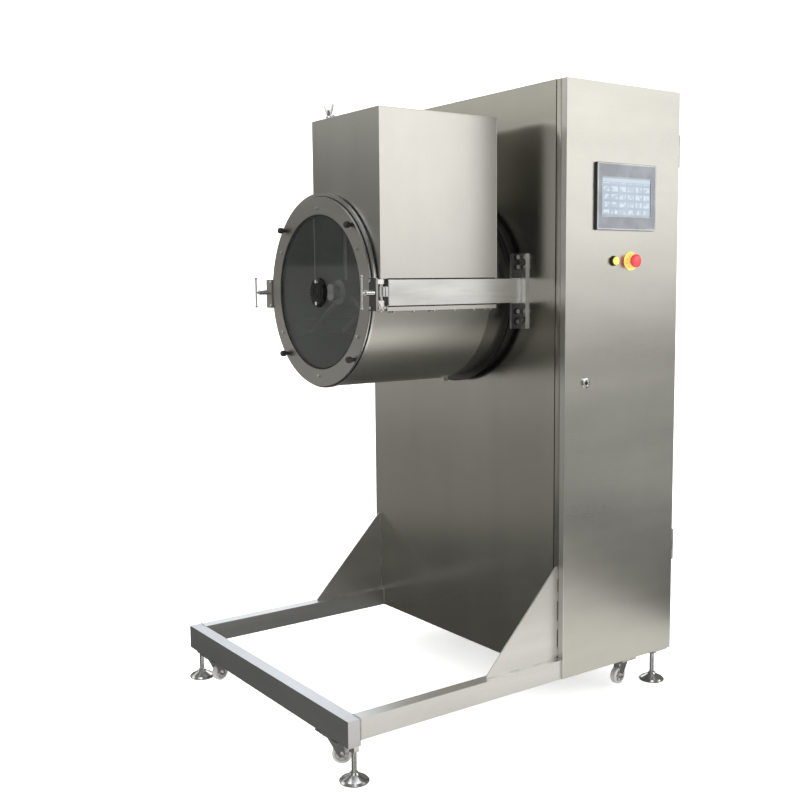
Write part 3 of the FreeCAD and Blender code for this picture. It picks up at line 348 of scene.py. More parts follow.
def frameOf(ahead):
    # two directions square to a given one
    ahead = Vector(ahead).normalized()
    side = Vector((0, 0, 1)) if abs(ahead.z) < 0.9 else Vector((1, 0, 0))
    first = ahead.cross(side).normalized()
    return first, ahead.cross(first)


def ringOf(mesh, center, ahead, radius, count):
    # vertices evenly round a center, square to ahead, radius in mm
    first, second = frameOf(ahead)
    return [mesh.verts.new(center + (first * math.cos(a) + second * math.sin(a)) * radius / 1000)
            for a in turns(count)]


def lathe(mesh, profile, place, ahead, count=32):
    # closed turned body: profile of (radius, height) in mm, height along ahead from place
    ahead = Vector(ahead).normalized()
    rings = []
    for radius, height in profile:
        center = place + ahead * height / 1000
        rings.append(ringOf(mesh, center, ahead, radius, count) if radius else [mesh.verts.new(center)])
    for low, high in zip(rings, rings[1:]):
        for i in range(count):
            j = (i + 1) % count
            corners = [low[i % len(low)], low[j % len(low)], high[j % len(high)], high[i % len(high)]]
            unique = list(dict.fromkeys(corners))
            if len(unique) > 2:
                mesh.faces.new(unique)


def closeSides(mesh, low, high):
    # walls between two rings of vertices
    for i in range(len(low)):
        j = (i + 1) % len(low)
        mesh.faces.new((low[i], low[j], high[j], high[i]))


def hexHead(mesh, place, ahead, across, height, washer=0.0):
    # bolt head with a chamfered top, on a washer if one is wanted
    ahead = Vector(ahead).normalized()
    base = place
    if washer:
        lathe(mesh, [(0, 0), (washer, 0), (washer, 1.4), (washer - 0.4, 1.8), (0, 1.8)], place, ahead, 24)
        base = place + ahead * 0.0018
    radius = across / math.sqrt(3)
    rings = [ringOf(mesh, base + ahead * h / 1000, ahead, radius * scale, 6)
             for scale, h in ((1.0, 0), (1.0, height * 0.82), (0.86, height))]
    mesh.faces.new(rings[0][::-1])
    mesh.faces.new(rings[-1])
    for low, high in zip(rings, rings[1:]):
        closeSides(mesh, low, high)


def socketHead(mesh, place, ahead, radius, height):
    # cap screw: knurled side left plain, hexagon socket sunk in its top
    lathe(mesh, [(0, 0), (radius, 0), (radius, height * 0.8), (radius * 0.9, height), (radius * 0.55, height),
                 (radius * 0.5, height * 0.4), (0, height * 0.35)], place, ahead, 18)


def block(mesh, low, high, corner):
    # box between two places, with small chamfers where corner isn't 0
    size = high - low
    matrix = Matrix.Translation((low + high) / 2) @ Matrix.Diagonal((*size, 1))
    made = bmesh.ops.create_cube(mesh, size=1, matrix=matrix)
    if corner:
        edges = list({e for v in made["verts"] for e in v.link_edges})
        bmesh.ops.bevel(mesh, geom=edges, offset=corner, segments=2, affect="EDGES", profile=0.6)


def bead(mesh, start, end, radius, seed):
    # weld seam: a row of overlapping ripples from start to end
    chance = random.Random(seed)
    length = (end - start).length
    ahead = (end - start).normalized()
    steps = max(4, int(length / 0.0022))
    rings = []
    for i in range(steps + 1):
        center = start + ahead * length * i / steps
        wave = (0.82 if i % 2 else 1.0) + chance.uniform(-0.08, 0.08)
        taper = 0.35 if i in (0, steps) else 1.0
        rings.append(ringOf(mesh, center, ahead, radius * wave * taper, 8))
    for low, high in zip(rings, rings[1:]):
        closeSides(mesh, low, high)
    mesh.faces.new(rings[0][::-1])
    mesh.faces.new(rings[-1])


def tube(mesh, points, radius, count=12, closed=False):
    # round bar through points (metres), radius in mm
    rings = []
    total = len(points)
    for i, point in enumerate(points):
        before = points[i - 1] if i or closed else points[i]
        after = points[(i + 1) % total] if i < total - 1 or closed else points[i]
        rings.append(ringOf(mesh, point, after - before, radius, count))
    pairs = list(zip(rings, rings[1:])) + ([(rings[-1], rings[0])] if closed else [])
    for low, high in pairs:
        closeSides(mesh, low, high)
    if not closed:
        mesh.faces.new(rings[0][::-1])
        mesh.faces.new(rings[-1])


def paintPart(node, finish, test):
    # second finish on the faces of a CAD node that pass the test of their middle and the way they face
    data = nodes[node].data
    data.materials.append(finishes[finish])
    slot = len(data.materials) - 1
    for face in data.polygons:
        if test(face.center, face.normal):
            face.material_index = slot


def near(place, radius):
    # test for the faces around one place on the side door
    return lambda center, normal: (center - place).length < radius


# base frame and feet

weldLook = {"radius": 2.4, "inner": 459, "outer": 499, "front": -735, "rear": -0.5, "low": 118, "high": 178,
            "gussetX": 479, "gussetHalf": 2.6, "gussetRadius": 1.8,
            "onRail": (-278, -190, -100, -40), "railRun": 34, "onPanel": (186, 270, 360, 430), "panelRun": 30}


def weldFrame():
    look = weldLook
    front, rear, low, high = look["front"], look["rear"], look["low"], look["high"]
    mesh = bmesh.new()
    for side in (-1, 1):
        inner, outer = side * look["inner"], side * look["outer"]
        runs = (((inner, front, high), (outer, front, high)), ((inner, front, low), (inner, front, high)),
                ((outer, front, low), (outer, front, high)), ((inner, rear, high), (outer, rear, high)),
                ((inner, rear, low), (inner, rear, high)))
        for number, (start, end) in enumerate(runs):
            bead(mesh, at(*start), at(*end), look["radius"], number)
        for face in (-look["gussetHalf"], look["gussetHalf"]):
            x = side * look["gussetX"] + face
            for number, y in enumerate(look["onRail"]):
                bead(mesh, at(x, y, 178.4), at(x, y + look["railRun"], 178.4), look["gussetRadius"], number + 7)
            for number, z in enumerate(look["onPanel"]):
                bead(mesh, at(x, -0.6, z), at(x, -0.6, z + look["panelRun"]), look["gussetRadius"], number + 11)
    grow("weldSeams", mesh, "weldSteel", "frame", angle=60)


# x, y and the height where each foot's thread ends
footLook = {"places": ((-479, -745, 84), (479, -745, 84), (-455, 460, 91), (455, 460, 91)),
            "start": 29.0, "pitch": 1.6, "root": 6.9, "crest": 7.25, "nutInner": 13, "nutOuter": 16.5}


def footThreads():
    look = footLook
    mesh = bmesh.new()
    for x, y, top in look["places"]:
        profile, z = [(look["root"], 29)], look["start"]
        while z < top - look["pitch"]:
            profile += [(look["crest"], z + 0.5), (look["root"], z + look["pitch"])]
            z += look["pitch"]
        lathe(mesh, profile, at(x, y, 0), upward, 24)
        inner, outer = look["nutInner"], look["nutOuter"]
        lathe(mesh, [(inner, top + 18.4), (outer, top + 18.4), (outer, top + 17), (inner, top + 17)],
              at(x, y, 0), upward, 24)
    grow("footThreads", mesh, "polishedSteel", "frame", angle=20)


weldFrame()
footThreads()
print("base frame detailed")


# casters

# x, y in mm and the way each caster trails, in degrees; below, its hub and ribs in metres, the rest in mm
casterPlaces = {"front_left": (-368, -747, 105), "front_right": (384, -747, 55),
                "rear_left": (-440, 325, -60), "rear_right": (440, 330, -85)}
casterLook = {"trail": 0.02, "axleZ": 44.5, "nutSide": 0.0135, "endSide": 0.019, "hubSide": 0.0058,
              "ribSide": 0.0088, "ribs": 6, "ribMiddle": 0.0142, "ribHalf": 0.0012, "plateZ": 97,
              "boltX": 23, "boltY": 20}


def casterFittings(name, x, y, trail, axle):
    # nuts at the axle's ends and the ball race under the plate
    hub = at(x, y, casterLook["axleZ"]) + trail * casterLook["trail"]
    mesh = bmesh.new()
    for side in (-1, 1):
        hexHead(mesh, hub + axle * side * casterLook["nutSide"], axle * side, 11, 4.5, 6.5)
        lathe(mesh, [(0, 0), (3.4, 0), (3.4, 2.6), (0, 2.8)], hub + axle * side * casterLook["endSide"],
              axle * side, 16)
    lathe(mesh, [(14, 0), (21.5, 0), (22, 2), (21.5, 4), (14, 4)], at(x, y, 90.6), upward, 36)
    grow("casterFittings_" + name, mesh, "polishedSteel", "caster_fork_" + name)


def wheelHub(name, x, y, trail, axle):
    # hub ring and six ribs on both sides of the wheel
    hub = at(x, y, casterLook["axleZ"]) + trail * casterLook["trail"]
    lowSide, highSide = casterLook["hubSide"], casterLook["ribSide"]
    mesh = bmesh.new()
    for side in (-1, 1):
        lathe(mesh, [(4.2, 0), (8.6, 0), (8.6, 3.6), (7.6, 4.6), (4.2, 4.6)], hub + axle * side * lowSide,
              axle * side, 24)
        for k in range(casterLook["ribs"]):
            b = math.pi / 3 * k
            spoke = (Vector(upward) * math.sin(b) + trail * math.cos(b)) * casterLook["ribMiddle"]
            across = (Vector(upward) * math.cos(b) - trail * math.sin(b)) * casterLook["ribHalf"]
            corners = [spoke * 0.62 + across, spoke * 1.36 + across, spoke * 1.36 - across, spoke * 0.62 - across]
            low = [mesh.verts.new(hub + axle * side * lowSide + c) for c in corners]
            high = [mesh.verts.new(hub + axle * side * highSide + c) for c in corners]
            mesh.faces.new(low[::-1])
            mesh.faces.new(high)
            closeSides(mesh, low, high)
    grow("wheelHub_" + name, mesh, "hubPlastic", "caster_wheel_" + name)


def casterDetails():
    for name, (x, y, way) in casterPlaces.items():
        a = math.radians(way)
        trail = Vector((math.cos(a), math.sin(a), 0))
        axle = Vector((-math.sin(a), math.cos(a), 0))
        casterFittings(name, x, y, trail, axle)
        wheelHub(name, x, y, trail, axle)
    mesh = bmesh.new()
    for x, y, way in casterPlaces.values():
        for dx in (-casterLook["boltX"], casterLook["boltX"]):
            for dy in (-casterLook["boltY"], casterLook["boltY"]):
                hexHead(mesh, at(x + dx, y + dy, casterLook["plateZ"]), downward, 9, 3.5, 5.5)
    grow("casterPlateBolts", mesh, "polishedSteel", "frame")


casterDetails()
print("casters detailed")


# drum door

doorLook = {"screwCircle": 252, "screwY": -546.9, "clevisX": 320, "clevisY": (-537, -519), "clevisZ": 1263,
            "blockX": 291, "blockZ": (1262, 1338), "hubCircle": 36.5, "hubStuds": 24, "hubBolts": 33}
# rubber round the glass, and round the joint of the door with the flange
gasketLook = {"inner": 230.4, "outer": 233.0, "front": -543.7, "back": -540.3}
sealLook = {"inner": 285.6, "outer": 287.6, "front": -538.2, "back": -536.1}


def doorSeals():
    axis = at(0, 0, drumZ)
    g, s = gasketLook, sealLook
    mesh = bmesh.new()
    lathe(mesh, [(g["outer"], -g["front"]), (g["inner"], -g["front"] - 0.5), (g["inner"] - 1.6, -g["back"] + 0.2),
                 (g["inner"] - 1.8, -g["back"]), (g["outer"], -g["back"]), (g["outer"], -g["front"])],
          axis, frontward, 160)
    grow("glassGasket", mesh, "blackRubber", "drum_door")
    mesh = bmesh.new()
    lathe(mesh, [(s["inner"], -s["front"]), (s["outer"], -s["front"]), (s["outer"], -s["back"]),
                 (s["inner"], -s["back"]), (s["inner"], -s["front"])], axis, frontward, 160)
    grow("doorSeal", mesh, "blackRubber", "drum_door")


def doorScrews():
    look = doorLook
    mesh = bmesh.new()
    for degrees in range(30, 390, 60):
        place = aroundDrum(look["screwCircle"], look["screwY"], math.radians(degrees))
        socketHead(mesh, place, frontward, 4.5, 1.8)
    grow("ringScrewSockets", mesh, "polishedSteel", "drum_door")
    mesh = bmesh.new()
    for side in (-1, 1):
        for y in look["clevisY"]:
            socketHead(mesh, at(side * look["clevisX"], y, look["clevisZ"]), (side, 0, 0), 4.2, 3.2)
        for z in look["blockZ"]:
            socketHead(mesh, at(side * look["blockX"], -548, z), frontward, 4.2, 3.0)
    grow("clevisScrews", mesh, "polishedSteel", "drum_door")


def doorHub():
    look = doorLook
    mesh = bmesh.new()
    lathe(mesh, [(0, 0), (12, 1.2), (13, 0.2), (19, 0.2), (20, 1.6), (24, 1.6), (25, 0.2), (29, 0.2), (30, 0.0)],
          at(0, -548.3, drumZ), frontward, 48)
    for a in turns(look["hubStuds"]):
        lathe(mesh, [(0, 0), (2.2, 0), (2.2, 1.2), (1.4, 1.8), (0, 1.8)],
              aroundDrum(look["hubCircle"], -547.2, a), frontward, 10)
    grow("hubRidges", mesh, "hubBlack", "drum_door")
    bolts = [at(0, -550, drumZ + side * look["hubBolts"]) for side in (-1, 1)]
    paintPart("glass_hub", "polishedSteel",
              lambda center, normal: any((center - bolt).length < 0.0068 for bolt in bolts))


def doorBlocks():
    # painted shade on the front faces of the right block, painted highlight on the sides of both
    paintPart("clevis_blocks", "darkSteel", lambda center, normal: normal.y < -0.7 and center.x > 0)
    paintPart("clevis_blocks", "highlightSteel", lambda center, normal: abs(normal.x) > 0.7 and center.y > -0.3995)


doorSeals()
doorScrews()
doorHub()
doorBlocks()
print("drum door detailed")


# box, arms and brackets

edgeLook = {"radius": 1.1, "inset": 0.5}
boxLook = {"left": -51, "right": 309, "front": -524, "rear": -98, "low": 1346, "high": 1814,
           "hinges": (20, 238), "hingeScrewX": 18, "hingeScrewZ": (1797, 1804), "wing": (9, -500, 1819.05)}


def edgeLine(name, finish, body, runs):
    # rounded folds of sheet steel: thin bars that stand a hair proud of their corners, in the finish given; here
    # always the bright steel, a painted highlight
    mesh = bmesh.new()
    for start, end in runs:
        tube(mesh, [at(*start), at(*end)], edgeLook["radius"], 10)
    grow(name, mesh, finish, body)


def boxDetails():
    look, i = boxLook, edgeLook["inset"]
    # the box's front faces in a darker copy of its steel: painted shade
    paintPart("feed_box", "boxFrontShadeSteel", lambda center, normal: normal.y < -0.9)
    # bars on the box's corners in the bright steel: painted highlight
    corners = [(look["right"] - i, look["front"] + i), (look["left"] + i, look["front"] + i),
               (look["right"] - i, look["rear"] - i), (look["left"] + i, look["rear"] - i)]
    edgeLine("boxCornerHighlights", "highlightSteel", "frame",
             [((x, y, look["low"]), (x, y, look["high"])) for x, y in corners])
    mesh = bmesh.new()
    for x in look["hinges"]:
        for dx in (-look["hingeScrewX"], look["hingeScrewX"]):
            for z in look["hingeScrewZ"]:
                socketHead(mesh, at(x + dx, -95.9, z), rearward, 2.6, 1.4)
    grow("lidHingeScrews", mesh, "polishedSteel", "frame")
    mesh = bmesh.new()
    lathe(mesh, [(10.5, 0), (14, 0), (14, 1.2), (10.5, 1.2)], at(*look["wing"]), upward, 32)
    grow("lidWasher", mesh, "polishedSteel", "box_lid")


# black rubber strips as painted shadow in the gaps: one under the box on the right arm, one on each seam strip of
# the drum
boxGapShadow = ((303.2, -503, 1341.1), (309.5, -104.5, 1345.2))
armGapShadow = ((313.4, -504, 1264.2), (314.9, -104.5, 1267.9))
armLook = {"side": 320.6, "edge": 316, "low": 1270, "high": 1339, "sideBolts": (1210, 1241, 1377, 1406),
           "frontBolts": (1215, 1390), "washer": [(7.8, 0), (9.4, 0), (9.4, 1.4), (7.8, 1.4)]}


def shadeStrip(mesh, low, high, side):
    a, b = at(side * low[0], low[1], low[2]), at(side * high[0], high[1], high[2])
    block(mesh, Vector((min(a.x, b.x), a.y, a.z)), Vector((max(a.x, b.x), b.y, b.z)), 0.0003)


def armDetails():
    look = armLook
    low, high = look["low"], look["high"]
    # weld beads on the arms in the bright steel: painted highlight
    mesh = bmesh.new()
    for side in (-1, 1):
        x, edge = side * look["side"], side * look["edge"]
        runs = (((x, -9.5, low), (x, -9.5, high), 2.0), ((edge, -43, 1267.2), (edge, -9, 1267.2), 1.7),
                ((edge, -43, 1341.8), (edge, -9, 1341.8), 1.7), ((x, -505.2, low), (x, -505.2, high), 1.6))
        for number, (start, end, radius) in enumerate(runs):
            bead(mesh, at(*start), at(*end), radius, 21 + number)
    grow("armWeldHighlights", mesh, "highlightSteel", "frame", angle=60)
    # black strips in the gaps under the box and the arms: painted shadow
    mesh = bmesh.new()
    shadeStrip(mesh, *boxGapShadow, 1)
    for side in (-1, 1):
        shadeStrip(mesh, *armGapShadow, side)
    grow("gapShadowStrips", mesh, "blackRubber", "frame")
    paintPart("arm_brackets", "darkSteel", lambda center, normal: abs(normal.x) > 0.9 and center.y < 0.1285)
    # black washers round the bracket bolts: painted shade round their heads
    mesh = bmesh.new()
    for side in (-1, 1):
        for z in look["sideBolts"]:
            lathe(mesh, look["washer"], at(side * 315.05, -22, z), (side, 0, 0), 24)
        for z in look["frontBolts"]:
            lathe(mesh, look["washer"], at(side * 329, -8.05, z), frontward, 24)
    grow("bracketShadeWashers", mesh, "hubBlack", "frame")


# the drum's radius, the places of its seam bolts, and the radii beyond which the collar gets painted shade and
# shadow and the rims painted highlight
drumLook = {"radius": 286.4, "rimSteps": 160, "rimY": -528.2, "rimWeld": 1.5, "shadedRim": 0.2815, "shadowRim": 0.297,
            "highlightRim": 0.28, "boltX": 292, "boltZ": 1252.8, "bolts": (-470, -400, -325, -250, -175, -130)}


def fromAxis(center):
    # distance in metres of a face's middle from the drum's axis
    axis = at(0, 0, drumZ)
    return math.hypot(center.x - axis.x, center.z - axis.z)


def drumDetails():
    look = drumLook
    # painted shade and shadow: the collar's outer faces turn dark steel, its outermost rim black
    for finish, least in (("darkSteel", look["shadedRim"]), ("hubBlack", look["shadowRim"])):
        paintPart("rear_collar", finish, lambda center, normal: fromAxis(center) > least)
    # painted highlight: the outer rims of the door ring and the flange
    for node in ("door_ring", "front_flange"):
        paintPart(node, "highlightSteel",
                  lambda center, normal: abs(normal.y) < 0.3 and fromAxis(center) > look["highlightRim"])
    mesh = bmesh.new()
    for side in (-1, 1):
        for y in look["bolts"]:
            hexHead(mesh, at(side * look["boltX"], y, look["boltZ"]), downward, 8, 3.6, 5.5)
    grow("seamBolts", mesh, "polishedSteel", "frame")
    # weld round the flange in the bright steel: painted highlight
    mesh = bmesh.new()
    rim = [aroundDrum(look["radius"], look["rimY"], a) for a in turns(look["rimSteps"])]
    tube(mesh, rim, look["rimWeld"], 8, True)
    grow("flangeWeldHighlight", mesh, "highlightSteel", "frame")


boxDetails()
armDetails()
drumDetails()
print("box, arms and drum detailed")


# cabinet and its controls

cabinetLook = {"strip": ((461.6, 1.2, 122), (482.4, 17, 1917.4)), "edgeY": 0.6, "doorEdge": (121, 1915),
               "panelEdge": (120, 1916), "screwRadius": 3.9, "screwHeight": 2.6,
               "rows": (150, 520, 900, 1250, 1600, 1885), "rearX": (-490, 468), "leftY": (20, 470),
               "columns": (-340, -190, -40, 110, 260, 400), "ends": (133, 1903),
               "hinges": (1737, 467), "hingeScrews": (-42, 42), "hingePlace": (470, 493)}


def cabinetEdges():
    # strip in the corner recess in the front panel's darker steel, painted shade, and the folds at both front
    # corners in the bright steel, painted highlight
    look, y = cabinetLook, cabinetLook["edgeY"]
    low, high = look["strip"]
    mesh = bmesh.new()
    block(mesh, at(*low), at(*high), 0.0008)
    grow("cornerStrip", mesh, "cabinetShadeSteel", "frame")
    low, high = look["doorEdge"]
    edgeLine("doorCornerHighlight", "highlightSteel", "side_door", [((cornerX, y, low), (cornerX, y, high))])
    low, high = look["panelEdge"]
    edgeLine("frontPanelCornerHighlight", "highlightSteel", "frame",
             [((-cornerX, y, low), (-cornerX, y, high))])


def cabinetScrews():
    look = cabinetLook
    radius, height = look["screwRadius"], look["screwHeight"]
    mesh = bmesh.new()
    for z in look["rows"]:
        for x in look["rearX"]:
            socketHead(mesh, at(x, rearFace, z), rearward, radius, height)
        for y in look["leftY"]:
            socketHead(mesh, at(-doorFace, y, z), (-1, 0, 0), radius, height)
    for x in look["columns"]:
        for z in look["ends"]:
            socketHead(mesh, at(x, rearFace, z), rearward, radius, height)
    grow("panelScrews", mesh, "innerSteel", "frame")
    mesh = bmesh.new()
    for z in look["hinges"]:
        for dz in look["hingeScrews"]:
            socketHead(mesh, at(*look["hingePlace"], z + dz), rearward, 3.6, 2.0)
    grow("hingeScrews", mesh, "polishedSteel", "frame")


controlLook = {"push": (200, 1392), "stop": (274, 1392), "lock": (85, 1026), "knurls": 40, "knurlCircle": 0.0146,
               "bezelLow": (118, 1484), "bezelHigh": (375, 1684), "bezelInset": 1.5, "bezelHighlightRim": 3.2,
               "screenLow": (138.4, 1523.4), "screenHigh": (352.6, 1642.6), "screenRim": 1.4, "front": 514.0}


def pushAndStop():
    push, stop = at(doorFace, *controlLook["push"]), at(doorFace, *controlLook["stop"])
    paintPart("button_collars", "yellowPlastic", near(stop, 0.032))
    paintPart("button_collars", "blackPlastic", near(push, 0.024))
    mesh = bmesh.new()
    lathe(mesh, [(21.4, 0.1), (28.5, 0.1), (29.5, 0.7), (29.5, 1.6), (28.8, 2.2), (21.4, 2.2)], stop, outward, 56)
    grow("stopPlate", mesh, "yellowPlastic", "side_door")
    mesh = bmesh.new()
    lathe(mesh, [(0, 8.7), (11.5, 8.7), (12.6, 9.2), (12.8, 10.8), (11.6, 13.2), (7.5, 14.6), (0, 15.2)],
          push, outward, 40)
    grow("pushCap", mesh, "greenPlastic", "push_button")
    mesh = bmesh.new()
    circle = controlLook["knurlCircle"]
    for a in turns(controlLook["knurls"]):
        spot = push + Vector((0.0001, math.cos(a) * circle, math.sin(a) * circle))
        block(mesh, spot - Vector((0, 0.0005, 0.0005)), spot + Vector((0.0046, 0.0005, 0.0005)), 0)
    grow("pushKnurl", mesh, "blackPlastic", "side_door", smooth=False)


def doorLock():
    lock = at(doorFace, *controlLook["lock"])
    mesh = bmesh.new()
    lathe(mesh, [(13.2, 0.1), (16.6, 0.1), (16.8, 0.6), (15.2, 4.4), (12.4, 5.8), (9.4, 5.6), (8.4, 4.2),
                 (13.2, 4.2)], lock, outward, 48)
    grow("lockRim", mesh, "polishedSteel", "side_door")
    # black ring and bar in the key slot: painted shade
    mesh = bmesh.new()
    lathe(mesh, [(2.9, 3.55), (5.5, 3.55), (5.5, 4.5), (4.4, 4.9), (2.9, 4.9)], lock, outward, 28)
    block(mesh, lock + Vector((0.0036, -0.0008, -0.0046)), lock + Vector((0.0052, 0.0008, 0.0046)), 0.0002)
    grow("lockSlotShade", mesh, "blackPlastic", "lock_cam")


def screenHighlightRims():
    # one rim round the bezel, one round the display, in a lighter plastic: painted highlight
    look = controlLook
    paintPart("hmi_bezel", "blackPlastic", lambda center, normal: abs(normal.x) < 0.7)
    inset = look["bezelInset"]
    outer = [v + inset for v in look["bezelLow"]], [v - inset for v in look["bezelHigh"]]
    mesh = bmesh.new()
    for (a, b), width in ((outer, look["bezelHighlightRim"]), ((look["screenLow"], look["screenHigh"]), look["screenRim"])):
        bars = (((a[0], a[1]), (b[0], a[1] + width)), ((a[0], b[1] - width), (b[0], b[1])),
                ((a[0], a[1] + width), (a[0] + width, b[1] - width)),
                ((b[0] - width, a[1] + width), (b[0], b[1] - width)))
        for (y1, z1), (y2, z2) in bars:
            block(mesh, at(look["front"], y1, z1), at(look["front"] + 0.7, y2, z2), 0.0002)
    grow("screenHighlightRims", mesh, "bezelHighlightRim", "side_door", smooth=False)


cabinetEdges()
cabinetScrews()
pushAndStop()
doorLock()
screenHighlightRims()
print("cabinet and controls detailed")


# drive and electrics behind the side door

# the chain, with the teeth and the height of each sprocket
driveLook = {"pitch": 25.4, "links": 54, "big": (28, 1305.0), "small": (14, 889.76),
             "outerPlates": ((117.3, 118.6), (133.4, 134.7)), "innerPlates": ((118.7, 119.6), (132.4, 133.3)),
             "plateEnd": 9.6, "plateWaist": 6.4, "pinRadius": 3.9, "pinStart": 116.3, "pinLength": 19.4}


def chainPath():
    # pin places of the closed chain, one pitch apart
    pitch = driveLook["pitch"]
    (teethA, zA), (teethB, zB) = driveLook["big"], driveLook["small"]
    a, b = [pitch / 2 / math.sin(math.pi / teeth) for teeth in (teethA, teethB)]
    lean = math.asin((a - b) / (zA - zB))
    run = (zA - zB) * math.cos(lean)
    arcs = (a * (math.pi + 2 * lean), b * (math.pi - 2 * lean))
    total = arcs[0] + arcs[1] + 2 * run
    pins = []
    for k in range(driveLook["links"]):
        s = total * k / driveLook["links"]
        if s < arcs[0]:
            angle = -lean + s / a
            pins.append((a * math.cos(angle), zA + a * math.sin(angle)))
        elif s < arcs[0] + run:
            t = (s - arcs[0]) / run
            pins.append((-(a + (b - a) * t) * math.cos(lean),
                         (zA - a * math.sin(lean)) * (1 - t) + (zB - b * math.sin(lean)) * t))
        elif s < arcs[0] + run + arcs[1]:
            angle = math.pi + lean + (s - arcs[0] - run) / b
            pins.append((b * math.cos(angle), zB + b * math.sin(angle)))
        else:
            t = (s - arcs[0] - run - arcs[1]) / run
            pins.append(((b + (a - b) * t) * math.cos(lean),
                         (zB - b * math.sin(lean)) * (1 - t) + (zA - a * math.sin(lean)) * t))
    return pins


def linkPlate(mesh, first, second, y1, y2):
    # waisted plate between two pins
    start, end = Vector((first[0], 0, first[1])), Vector((second[0], 0, second[1]))
    along = (end - start).normalized()
    across = Vector((-along.z, 0, along.x))
    length = (end - start).length
    outline = []
    for center, turn in ((0, math.pi / 2), (length, -math.pi / 2)):
        for i in range(9):
            a = turn + math.pi * i / 8
            outline.append((center + driveLook["plateEnd"] * math.cos(a), driveLook["plateEnd"] * math.sin(a)))
        outline.append((length / 2, driveLook["plateWaist"] * (1 if center else -1)))
    rings = [[mesh.verts.new(at(*(start + along * u + across * v + Vector((0, y, 0))))) for u, v in outline]
             for y in (y1, y2)]
    mesh.faces.new(rings[0])
    mesh.faces.new(rings[1][::-1])
    closeSides(mesh, *rings)


def chainLinks():
    look = driveLook
    pins = chainPath()
    radius, length = look["pinRadius"], look["pinLength"]
    mesh = bmesh.new()
    for k, pin in enumerate(pins):
        after = pins[(k + 1) % len(pins)]
        for low, high in look["outerPlates"] if k % 2 else look["innerPlates"]:
            linkPlate(mesh, pin, after, low, high)
        lathe(mesh, [(0, 0), (radius, 0), (radius, length), (0, length)], at(pin[0], look["pinStart"], pin[1]),
              rearward, 14)
    made = grow("chainLinks", mesh, "chainSteel", "frame")
    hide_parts("drive_chain")


# the motor's height, its fins and fan cover; the bolts of motor, box and bearings
motorLook = {"z": 889.76, "fins": 32, "finY": (322, 432), "finRoot": 0.0675, "finHigh": 0.006, "finHalf": 0.0014,
             "coverY": 455.6, "coverRings": (22, 36, 50), "gearX": 62, "gearY": 170, "gearZ": (-62, 52),
             "boxX": 28, "boxY": (337, 373), "boxZ": 95, "footX": 82, "footY": (185, 285), "footZ": 779.8,
             "bearingY": (66, 204), "bearingCircle": 62}


def motorFins():
    look, z = motorLook, motorLook["z"]
    mesh = bmesh.new()
    for a in turns(look["fins"]):
        if 0.32 < (a / math.pi) < 0.68:  # room for the motor's box on top
            continue
        out = Vector((math.cos(a), 0, math.sin(a)))
        side = Vector((-math.sin(a), 0, math.cos(a))) * look["finHalf"]
        low, high = [at(0, y, z) + out * look["finRoot"] for y in look["finY"]]
        corners = [low - side, low + side, high + side, high - side]
        inner = [mesh.verts.new(c) for c in corners]
        outer = [mesh.verts.new(c + out * look["finHigh"]) for c in corners]
        mesh.faces.new(inner)
        mesh.faces.new(outer[::-1])
        closeSides(mesh, inner, outer)
    for radius in look["coverRings"]:
        ring = [at(radius * math.cos(a), look["coverY"], z + radius * math.sin(a)) for a in turns(48)]
        tube(mesh, ring, 1.6, 8, True)
    grow("motorFins", mesh, "motorPaint", "frame", angle=30)


def driveScrews():
    look, z = motorLook, motorLook["z"]
    mesh = bmesh.new()
    for x in (-look["gearX"], look["gearX"]):
        for dz in look["gearZ"]:
            hexHead(mesh, at(x, look["gearY"], z + dz), frontward, 13, 5.5, 9)
    for x in (-look["boxX"], look["boxX"]):
        for y in look["boxY"]:
            socketHead(mesh, at(x, y, z + look["boxZ"]), upward, 3.4, 2.4)
    for x in (-look["footX"], look["footX"]):
        for y in look["footY"]:
            hexHead(mesh, at(x, y, look["footZ"]), upward, 13, 6, 9)
    grow("motorScrews", mesh, "polishedSteel", "frame")
    mesh = bmesh.new()
    for y in look["bearingY"]:
        for a in turns(4):
            hexHead(mesh, aroundDrum(look["bearingCircle"], y, math.pi / 4 + a), rearward, 13, 5.5, 8.5)
    grow("bearingBolts", mesh, "polishedSteel", "frame")


# rows of small covers on the electric panel: how many, first y, step, width, z, depth in front of it, chamfer
panelFace = -488
coverRows = ((12, 96, 26.2, 12, (1404, 1436), (60.1, 61.2), 0.0002),
             (6, 100, 16, 10, (1560, 1632), (110.1, 111.6), 0.0003),
             (1, 100, 0, 90, (1650, 1706), (110.1, 112), 0.001),
             (4, 108, 34, 26, (1228, 1302), (80.1, 84), 0.0012))
terminalRows = ((14, 238, 11.6, 8.5, (1606, 1614), (70.1, 74), 0.0004),
                (14, 238, 11.6, 8.5, (1688, 1696), (70.1, 74), 0.0004),
                (8, 286, 12.6, 10, (1226, 1274), (45.1, 52), 0.0006))


def panelUnits():
    for name, finish, rows in (("panelCovers", "unitPlastic", coverRows),
                               ("panelTerminals", "terminalGreen", terminalRows)):
        mesh = bmesh.new()
        for count, first, step, width, (low, high), (back, front), corner in rows:
            for k in range(count):
                y = first + k * step
                block(mesh, at(panelFace + back, y, low), at(panelFace + front, y + width, high), corner)
        grow(name, mesh, finish, "frame", smooth=False)


chainLinks()
motorFins()
driveScrews()
panelUnits()
print("drive and electrics detailed")


# studio

studio = {"floorTone": 0.9, "floorGlow": 0.6, "floorRings": (0.5, 2.5, 6.4), "coveRadius": 2.2, "coveHeight": 9.0,
          "coveSteps": 12, "coveSides": 96, "world": (0.12, 0.12, 0.112), "worldStrength": 1.0}


